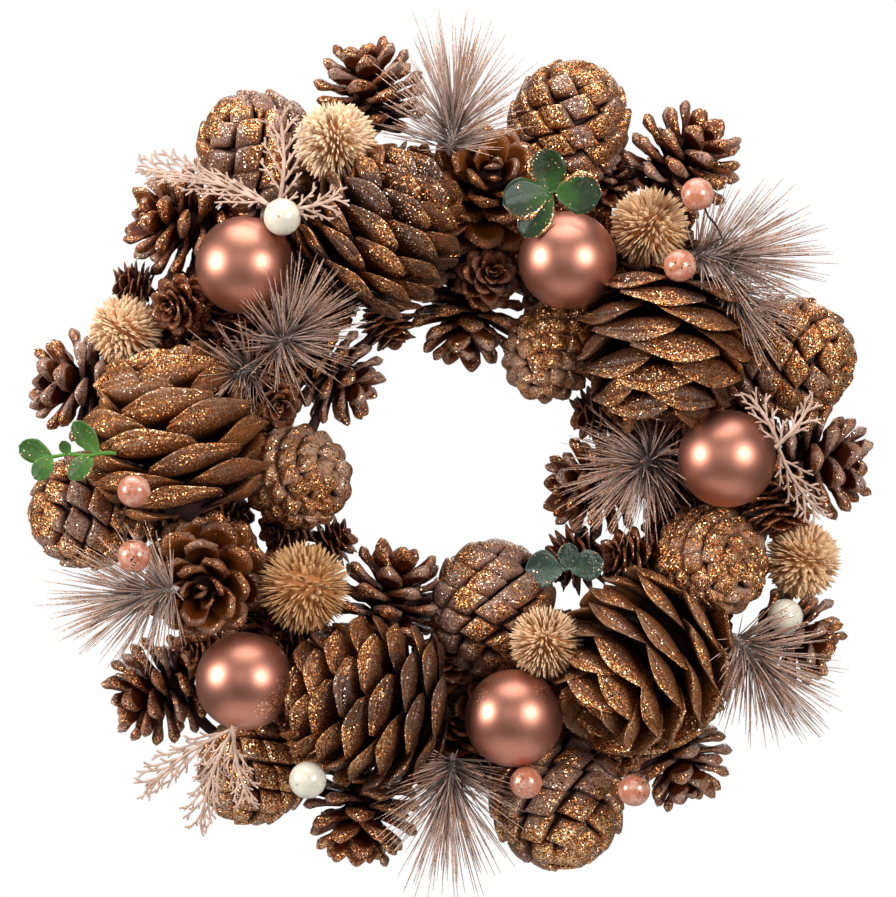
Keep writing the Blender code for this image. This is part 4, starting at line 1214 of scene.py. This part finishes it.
def ball(name, centre, radius, finish, segments=64, rings=40):
    mesh = bpy.data.meshes.new(name)
    shape = bmesh.new()
    bmesh.ops.create_uvsphere(
        shape, u_segments=segments, v_segments=rings, radius=radius * MM, matrix=Matrix.Translation(centre * MM)
    )
    shape.to_mesh(mesh)
    shape.free()
    mesh.shade_smooth()
    mesh.materials.append(finish)
    return new_object(name, mesh)


class WREATH_OT_baubles(bpy.types.Operator):
    """Hangs the satin baubles"""

    bl_idname = "wreath.baubles"
    bl_label = "Baubles"

    def execute(self, context):
        colour = tuple(context.scene.wreath_finishes.bauble_colour)
        clean = bauble_material("satin_lacquer", colour, [])
        for node, place in BAUBLES.items():
            dust = BAUBLE_DUST.get(node)
            finish = bauble_material(f"dusted_satin_lacquer_{node[-2:]}", colour, dust) if dust else clean
            centre = position(place.x, place.z, place.out)
            dress(node, "rose_gold", ball(node, centre, BAUBLE_RADIUS, finish, 96, 64))
        return {"FINISHED"}


class WREATH_OT_large_cones(bpy.types.Operator):
    """Builds the five broad cones"""

    bl_idname = "wreath.large_cones"
    bl_label = "Large cones"

    def execute(self, context):
        shapes = {1: broad_scale(1), -1: broad_scale(-1)}
        for number, (node, place) in enumerate(LARGE_CONES.items()):
            broad = BROAD_CONES[node]
            finish = cone_material(broad.finish)
            parts = build_cone(node, node, LARGE, place, shapes[broad.hand], finish, 40 + number, broad)
            dress(node, "broad_cone", *parts)
        for shape in shapes.values():
            remove(shape)
        return {"FINISHED"}


def build_groups(groups, slot):
    """Builds the cones of each group, and the twigs between those that share a node."""
    shapes = {OPEN: spoon_scale(), ROOFED: tile_scale(), CLOSED: knob_scale(), LARCH: petal_scale()}
    shapes[ROSETTE] = shapes[OPEN]
    names = {OPEN: "open", ROSETTE: "amber", ROOFED: "roofed", CLOSED: "closed", LARCH: "larch"}
    finishes = {kind: cone_material(name + "_cone_scales") for kind, name in names.items()}
    for number, (node, cones) in enumerate(groups.items()):
        parts, hearts = [], []
        for index, (kind, place) in enumerate(cones):
            seed = 100 + 10 * number + index
            parts += build_cone(f"{node}_{index}", node, kind, place, shapes[kind], finishes[kind], seed)
            matrix, spiral = cone_layout(kind, place)
            hearts.append(matrix @ Vector((0, 0, spiral.core_length / 2)))
        for start, end in zip(hearts, hearts[1:]):
            parts.append(twig(node + "_twig", start, end, core_material()))
        dress(node, slot, *parts)
    remove(*set(shapes.values()))


class WREATH_OT_pine_cones(bpy.types.Operator):
    """Builds the pine cones, alone or in groups on a twig"""

    bl_idname = "wreath.pine_cones"
    bl_label = "Pine cones"

    def execute(self, context):
        build_groups(PINE_CONES, "pine_cone")
        return {"FINISHED"}


class WREATH_OT_larch_cones(bpy.types.Operator):
    """Builds the small larch cones"""

    bl_idname = "wreath.larch_cones"
    bl_label = "Larch cones"

    def execute(self, context):
        build_groups(LARCH_CONES, "larch_cone")
        return {"FINISHED"}


class WREATH_OT_filling(bpy.types.Operator):
    """Fills the gaps on the ring's front with small dark cones"""

    bl_idname = "wreath.filling"
    bl_label = "Filling"

    def execute(self, context):
        chance = random.Random(11)
        shape = petal_scale(4)
        finish = cone_material("larch_cone_scales")
        parts, taken = [], []
        for radius in (104, 94, 114, 86, 122, 99, 109, 128, 81):
            for step in range(120):
                angle = 2 * math.pi * step / 120
                x, z = radius * math.cos(angle), radius * math.sin(angle)
                out = 18 if 86 <= radius <= 122 else 12
                at = position(x, z, out + 2)
                room = min(neighbours.distance(at), neighbours.distance(position(x, z, out + 8)) + 2)
                if room < 5 or any((at - other).length < 11 for other in taken) or len(taken) >= MOST_FILLING_CONES:
                    continue
                taken.append(at)
                size = min(room / 7.5, 1.35)
                place = Place(x, z, out, chance.uniform(0, 360), chance.uniform(15, 75), 0, size)
                parts += build_cone(f"filling_{len(taken)}", "straw_ring", FILLING, place, shape, finish, 200 + step)
        thing = merged("filling_cones", parts)
        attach(thing, "root")
        remove(shape)
        return {"FINISHED"}


class WREATH_OT_dried_flowers(bpy.types.Operator):
    """Builds the bristly dried heads"""

    bl_idname = "wreath.dried_flowers"
    bl_label = "Dried flowers"

    def execute(self, context):
        finishes = context.scene.wreath_finishes
        sizes = context.scene.wreath_sizes
        finish = bloom_material(tuple(finishes.bract_colour), tuple(finishes.bract_root))
        bract = rod_shape("bract", [(0, 0.4), (0.45, 0.5), (0.8, 0.4), (1, 0.08)], 0, 4)
        width = sizes.bract_width / MM
        for number, (node, place) in enumerate(DRIED_FLOWERS.items()):
            chance = random.Random(60 + number)
            centre = position(place.x, place.z, place.out)
            turn = stance(place).to_3x3()
            perches = []
            for index in range(sizes.bracts):
                height = 1 - 2 * (index + 0.5) / sizes.bracts
                angle = index * GOLDEN_ANGLE
                flat = math.sqrt(1 - height * height)
                local = Vector((flat * math.cos(angle), flat * math.sin(angle), height))
                out = turn @ strayed(local, chance, 0.1)
                foot = centre + out * place.size * 0.52
                full = place.size * chance.uniform(0.42, 0.54)
                free = neighbours.free_length(node, foot, out, full)
                # A bract's broad side is turned towards the head's foot.
                across = (turn @ Vector((0, 0, -1))).cross(out)
                across = out.cross(across).normalized() if across.length > 0.1 else turn @ Vector((1, 0, 0))
                up = out.cross(across).normalized()
                across = up.cross(out).normalized()
                size = (width * chance.uniform(0.8, 1.2), width * 0.3, max(free, full * 0.7))
                tone = min(FLOWER_TONES.get(node, 0) + chance.random() * 0.3, 1)
                perches.append(Perch(foot, across, up, out, size, tone))
            heads = stand(node + "_bracts", perches, bract, finish, sway=5, seed=number)
            heart = ball(node + "_heart", centre, place.size * 0.68, finish, 24, 16)
            dress(node, "dried_bloom", heart, heads)
        remove(bract)
        return {"FINISHED"}


class WREATH_OT_pearls(bpy.types.Operator):
    """Places the three pearls"""

    bl_idname = "wreath.pearls"
    bl_label = "Pearls"

    def execute(self, context):
        finish = bead_material("pearl_lacquer", "#d0c8b6", 0.05, 0.6)
        for node in ("pearl_01", "pearl_02", "pearl_03"):
            low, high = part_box(node)
            dress(node, "pearl", ball(node, (low + high) / 2 / MM, (high.x - low.x) / 2 / MM, finish))
        return {"FINISHED"}


class WREATH_OT_berry_picks(bpy.types.Operator):
    """Places the pairs of berries on their wires"""

    bl_idname = "wreath.berry_picks"
    bl_label = "Berry picks"

    def execute(self, context):
        finish = bead_material("berry_lacquer", "#b56d52", 0.22, 0.5)
        wire = core_material()
        for node, (*berries, foot, out) in BERRY_PICKS.items():
            spots = [position(x, z, out) for x, z in berries]
            low = position(*foot, out - 4)
            parts = [ball(f"{node}_{index}", spot, BERRY_RADIUS, finish, 40, 26) for index, spot in enumerate(spots)]
            parts += [twig(f"{node}_wire_{index}", spot, low, wire, 0.45) for index, spot in enumerate(spots)]
            dress(node, "berry_lacquer", *parts)
        return {"FINISHED"}


def needle_bundle(node, place, count, width, needle, finish, number):
    """A short stem and its needles; one that would run into a neighbour leans out towards the viewer instead."""
    chance = random.Random(80 + number)
    matrix = stance(place)
    turn = matrix.to_3x3()
    spiral = Spiral(20, 2.8, count, (5, 8))
    perches = []
    for cell in range(count):
        share = spiral.share(cell)
        tilt = between(NEEDLE_TILT, share) + chance.uniform(-9, 9)
        around, _, outward = spiral.axes(cell, tilt)
        out = strayed(turn @ outward, chance, 0.2)
        start = matrix @ spiral.centre(cell)
        full = between(NEEDLE_LENGTH, share) * place.size * chance.uniform(0.58, 1.02)
        for _ in range(8):
            free = neighbours.free_length(node, start + out * 2, out, full) + 2
            if free > full * 0.9:
                break
            out = (out + Vector((0, -0.22, 0))).normalized()
        up = out.cross(turn @ around).normalized()
        across = up.cross(out).normalized()
        perches.append(Perch(start, across, up, out, (width, width, min(free, full)), chance.random()))
    stem = [(0.3, -2), (1.7, 0), (1.9, 8), (1.5, 16), (0.4, 20)]
    return [
        lathe(f"{node}_stem_{number}", stem, matrix, finish, 10),
        stand(f"{node}_needles_{number}", perches, needle, finish, sway=2, seed=number),
    ]


class WREATH_OT_needle_tufts(bpy.types.Operator):
    """Builds the tufts of frosted needles"""

    bl_idname = "wreath.needle_tufts"
    bl_label = "Needle tufts"

    def execute(self, context):
        sizes = context.scene.wreath_sizes
        finish = needle_material()
        needle = rod_shape("needle", [(0, 0.5), (0.35, 0.5), (0.7, 0.46), (1, 0.15)], 0.18, 3)
        width = sizes.needle_width / MM
        for number, (node, place) in enumerate(NEEDLE_TUFTS.items()):
            parts = needle_bundle(node, place, sizes.needles, width, needle, finish, number)
            if node in SECOND_BUNDLES:
                second = SECOND_BUNDLES[node]
                parts += needle_bundle(node, second, sizes.needles * 2 // 3, width, needle, finish, 20 + number)
            dress(node, "frosted_needle", *parts)
        remove(needle)
        return {"FINISHED"}


def sprig_frame(x, z, out, clock, lean):
    flat = Matrix.Rotation(math.radians(90), 4, "X")
    turn = Matrix.Rotation(math.radians(clock), 4, "Z")
    back = Matrix.Rotation(math.radians(-lean), 4, "Y")
    return Matrix.Translation(position(x, z, out)) @ flat @ turn @ back


def frond_net(frond, chance):
    """Points, widths and edges of one forked frond in its own plane along +X."""
    points, sizes, edges = [], [], []

    def branch(start, angle, length, width, level):
        steps = max(3, int(length / 1.6))
        last = len(points)
        points.append(Vector(start))
        sizes.append(width)
        here = Vector(start)
        every = (2, 2, 99)[level]
        for step in range(1, steps + 1):
            share = step / steps
            bend = angle + 0.14 * math.sin(share * 4 + level + start[0])
            here = here + Vector((math.cos(bend), math.sin(bend), chance.uniform(-0.05, 0.05))) * (length / steps)
            points.append(here.copy())
            sizes.append(width * (1 - 0.3 * share))
            edges.append((last, len(points) - 1))
            last = len(points) - 1
            if step % every == 0 and 0.1 < share < 0.98:
                side = 1 if step // every % 2 else -1
                if level == 0:
                    reach = frond.length * 0.34 * math.sin(math.pi * (0.22 + 0.7 * share)) + 2
                    spread = math.radians(frond.spread) * chance.uniform(0.85, 1.2)
                    branch(here, angle + side * spread, reach, 0.62, 1)
                elif level == 1:
                    branch(here, angle + side * 0.6, chance.uniform(2.4, 4.0), 0.62, 2)

    branch(Vector((-2, 0, 0)), 0.0, frond.length, 1.0, 0)
    return points, sizes, edges


class WREATH_OT_cedar_sprays(bpy.types.Operator):
    """Builds the flocked cedar sprays"""

    bl_idname = "wreath.cedar_sprays"
    bl_label = "Cedar sprays"

    def execute(self, context):
        finish = cedar_material()
        for number, (node, (out, fronds)) in enumerate(CEDAR_SPRAYS.items()):
            chance = random.Random(90 + number)
            points, sizes, edges = [], [], []
            for index, frond in enumerate(fronds):
                matrix = sprig_frame(frond.x, frond.z, out + index * 0.4, frond.clock, frond.lean)
                net, widths, links = frond_net(frond, chance)
                first = len(points)
                points += [matrix @ p * MM for p in net]
                sizes += widths
                edges += [(a + first, b + first) for a, b in links]
            dress(node, "frosted_cedar", thickened(node, points, sizes, edges, finish, 0.95 * MM, 5))
        return {"FINISHED"}


def leaf_mesh(name, leaf, matrix, finish):
    """A cupped leaf with a midrib fold, thin and closed."""
    rows, columns = 13, 9
    points, rims, grains = [], [], []
    for side in (0, 1):
        for row in range(rows):
            along = row / (rows - 1)
            half = max(leaf.width / 2 * math.sqrt(1 - (2 * along - 1) ** 2) * min(1, 0.5 + along), 0.3)
            for column in range(columns):
                across = -1 + 2 * column / (columns - 1)
                cup = 0.14 * half * abs(across) ** 1.5 + 0.6 * along ** 2 - 0.25 * (1 - abs(across)) ** 6
                thickness = 0.45 * (1 - 0.5 * max(abs(across), abs(2 * along - 1)) ** 4)
                height = cup + (thickness / 2 if side == 0 else -thickness / 2)
                points.append(tuple(matrix @ Vector((leaf.length * along, half * across, height)) * MM))
                rims.append(max(abs(across), abs(2 * along - 1)))
                grains.append((along, across * half / leaf.length, 0))
    faces = []
    size = rows * columns
    for row in range(rows - 1):
        for column in range(columns - 1):
            a = row * columns + column
            faces.append((a, a + columns, a + columns + 1, a + 1))
            faces.append((a + size, a + 1 + size, a + columns + 1 + size, a + columns + size))
    rim = [row * columns for row in range(rows)]
    rim += [(rows - 1) * columns + column for column in range(1, columns)]
    rim += [row * columns + columns - 1 for row in range(rows - 2, -1, -1)]
    rim += [column for column in range(columns - 2, 0, -1)]
    for a, b in zip(rim, rim[1:] + rim[:1]):
        faces.append((a, b, b + size, a + size))
    thing = template(name, points, faces, rims, grains)
    thing.data.materials.append(finish)
    return thing


class WREATH_OT_leaf_sprigs(bpy.types.Operator):
    """Builds the three sprigs of leaves"""

    bl_idname = "wreath.leaf_sprigs"
    bl_label = "Leaf sprigs"

    def execute(self, context):
        for node, sprig in LEAF_SPRIGS.items():
            finish = leaf_material(sprig.finish)
            along = heading(sprig.clock, 0)
            foot = position(sprig.x, sprig.z, sprig.out)
            parts = [twig(node + "_stem", foot - along * 2, foot + along * (sprig.stem + 1), finish, 0.8)]
            for index, leaf in enumerate(sprig.leaves):
                start = foot + along * sprig.stem * leaf.foot
                matrix = sprig_frame(0, 0, 0, leaf.clock, 8 + 5 * (index % 3))
                matrix.translation = start
                parts.append(leaf_mesh(f"{node}_{index}", leaf, matrix, finish))
            dress(node, "leaf", *parts)
        return {"FINISHED"}


class WREATH_OT_stage(bpy.types.Operator):
    """Sets the pale floor, the soft studio lights and the camera"""

    bl_idname = "wreath.stage"
    bl_label = "Stage"

    def execute(self, context):
        settings = context.scene.wreath_stage
        aim = Vector((-0.000825, -0.04, -0.0849))
        material, shader, put, place = new_material("matt_paper")
        cloud = put(NOISE, {"Vector": place, "Scale": 30, "Detail": 2})
        feed(shader, {
            "Base Color": put(MIX, {0: cloud, 6: "#eeeeec", 7: "#f4f4f2"}, data_type="RGBA"),
            "Roughness": 0.9,
        })
        mesh = bpy.data.meshes.new("floor")
        drop = RING_CENTRE.z * MM - settings.floor_drop
        mesh.from_pydata([(-1, -1, drop), (1, -1, drop), (1, 1, drop), (-1, 1, drop)], [], [(0, 1, 2, 3)])
        mesh.materials.append(material)
        new_object("floor", mesh)

        world = bpy.data.worlds.new("studio")
        context.scene.world = world
        world.use_nodes = True
        seen = add(world.node_tree, "ShaderNodeLightPath").outputs["Is Camera Ray"]
        strength = add(world.node_tree, MAP, (seen, 0, 1, 0.14 * settings.light, 1))
        feed(world.node_tree.nodes["Background"], {"Strength": strength, "Color": (1, 1, 1, 1)})

        for name, azimuth, elevation, distance, size, power in (
            ("left_softbox", 68, 10, 1.3, 0.55, 20),
            ("right_softbox", -41, 10, 1.4, 0.6, 18),
            ("top_softbox", 0, 84, 1.2, 1.3, 20),
            ("front_fill", 8, 14, 2.4, 1.4, 5),
            ("back_fill", 190, 24, 2.2, 1.4, 9),
        ):
            lamp = bpy.data.lights.new(name, "AREA")
            lamp.shape = "DISK"
            lamp.size = size
            lamp.energy = power * settings.light
            box = bpy.data.objects.new(name, lamp)
            a, e = math.radians(azimuth), math.radians(elevation)
            away = Vector((-math.sin(a) * math.cos(e), -math.cos(a) * math.cos(e), math.sin(e)))
            box.location = aim + away * distance
            box.rotation_euler = away.to_track_quat("Z", "Y").to_euler()
            context.scene.collection.objects.link(box)

        # The frame is 0.36951 m wide at the point that the camera looks at.
        lens, sensor, frame_width = 165, 36, 0.36951
        camera = bpy.data.cameras.new("camera")
        camera.lens = lens
        camera.sensor_width = sensor
        camera.sensor_fit = "HORIZONTAL"
        camera.clip_end = 20
        eye = bpy.data.objects.new("camera", camera)
        eye.location = aim + Vector((0, -frame_width * lens / sensor, 0))
        eye.rotation_euler = (math.radians(90), 0, 0)
        context.scene.collection.objects.link(eye)
        context.scene.camera = eye
        context.scene.view_settings.view_transform = "Standard"
        return {"FINISHED"}


class WREATH_PT_panel(bpy.types.Panel):
    """Lists the wreath's pieces and their sizes and colours"""

    bl_idname = "WREATH_PT_panel"
    bl_label = "Wreath"
    bl_space_type = "VIEW_3D"
    bl_region_type = "UI"
    bl_category = "Wreath"

    def draw(self, context):
        for group in (context.scene.wreath_sizes, context.scene.wreath_finishes, context.scene.wreath_stage):
            box = self.layout.box()
            for name in group.bl_rna.properties.keys():
                if name not in ("rna_type", "name"):
                    box.prop(group, name)
        for operator in OPERATORS:
            self.layout.operator(operator.bl_idname)


GROUPS = {"wreath_finishes": WreathFinishes, "wreath_sizes": WreathSizes, "wreath_stage": WreathStage}
OPERATORS = (
    WREATH_OT_straw_ring,
    WREATH_OT_baubles,
    WREATH_OT_large_cones,
    WREATH_OT_pine_cones,
    WREATH_OT_larch_cones,
    WREATH_OT_filling,
    WREATH_OT_dried_flowers,
    WREATH_OT_pearls,
    WREATH_OT_berry_picks,
    WREATH_OT_needle_tufts,
    WREATH_OT_leaf_sprigs,
    WREATH_OT_cedar_sprays,
    WREATH_OT_stage,
)


def register():
    for cls in (*GROUPS.values(), *OPERATORS, WREATH_PT_panel):
        bpy.utils.register_class(cls)
    for name, group in GROUPS.items():
        setattr(bpy.types.Scene, name, bpy.props.PointerProperty(type=group))


def unregister():
    for name in GROUPS:
        delattr(bpy.types.Scene, name)
    for cls in reversed((*GROUPS.values(), *OPERATORS, WREATH_PT_panel)):
        bpy.utils.unregister_class(cls)


def main():
    register()
    for operator in OPERATORS:
        getattr(bpy.ops.wreath, operator.bl_idname.partition(".")[2])()


if __name__ == "__main__":
    main()
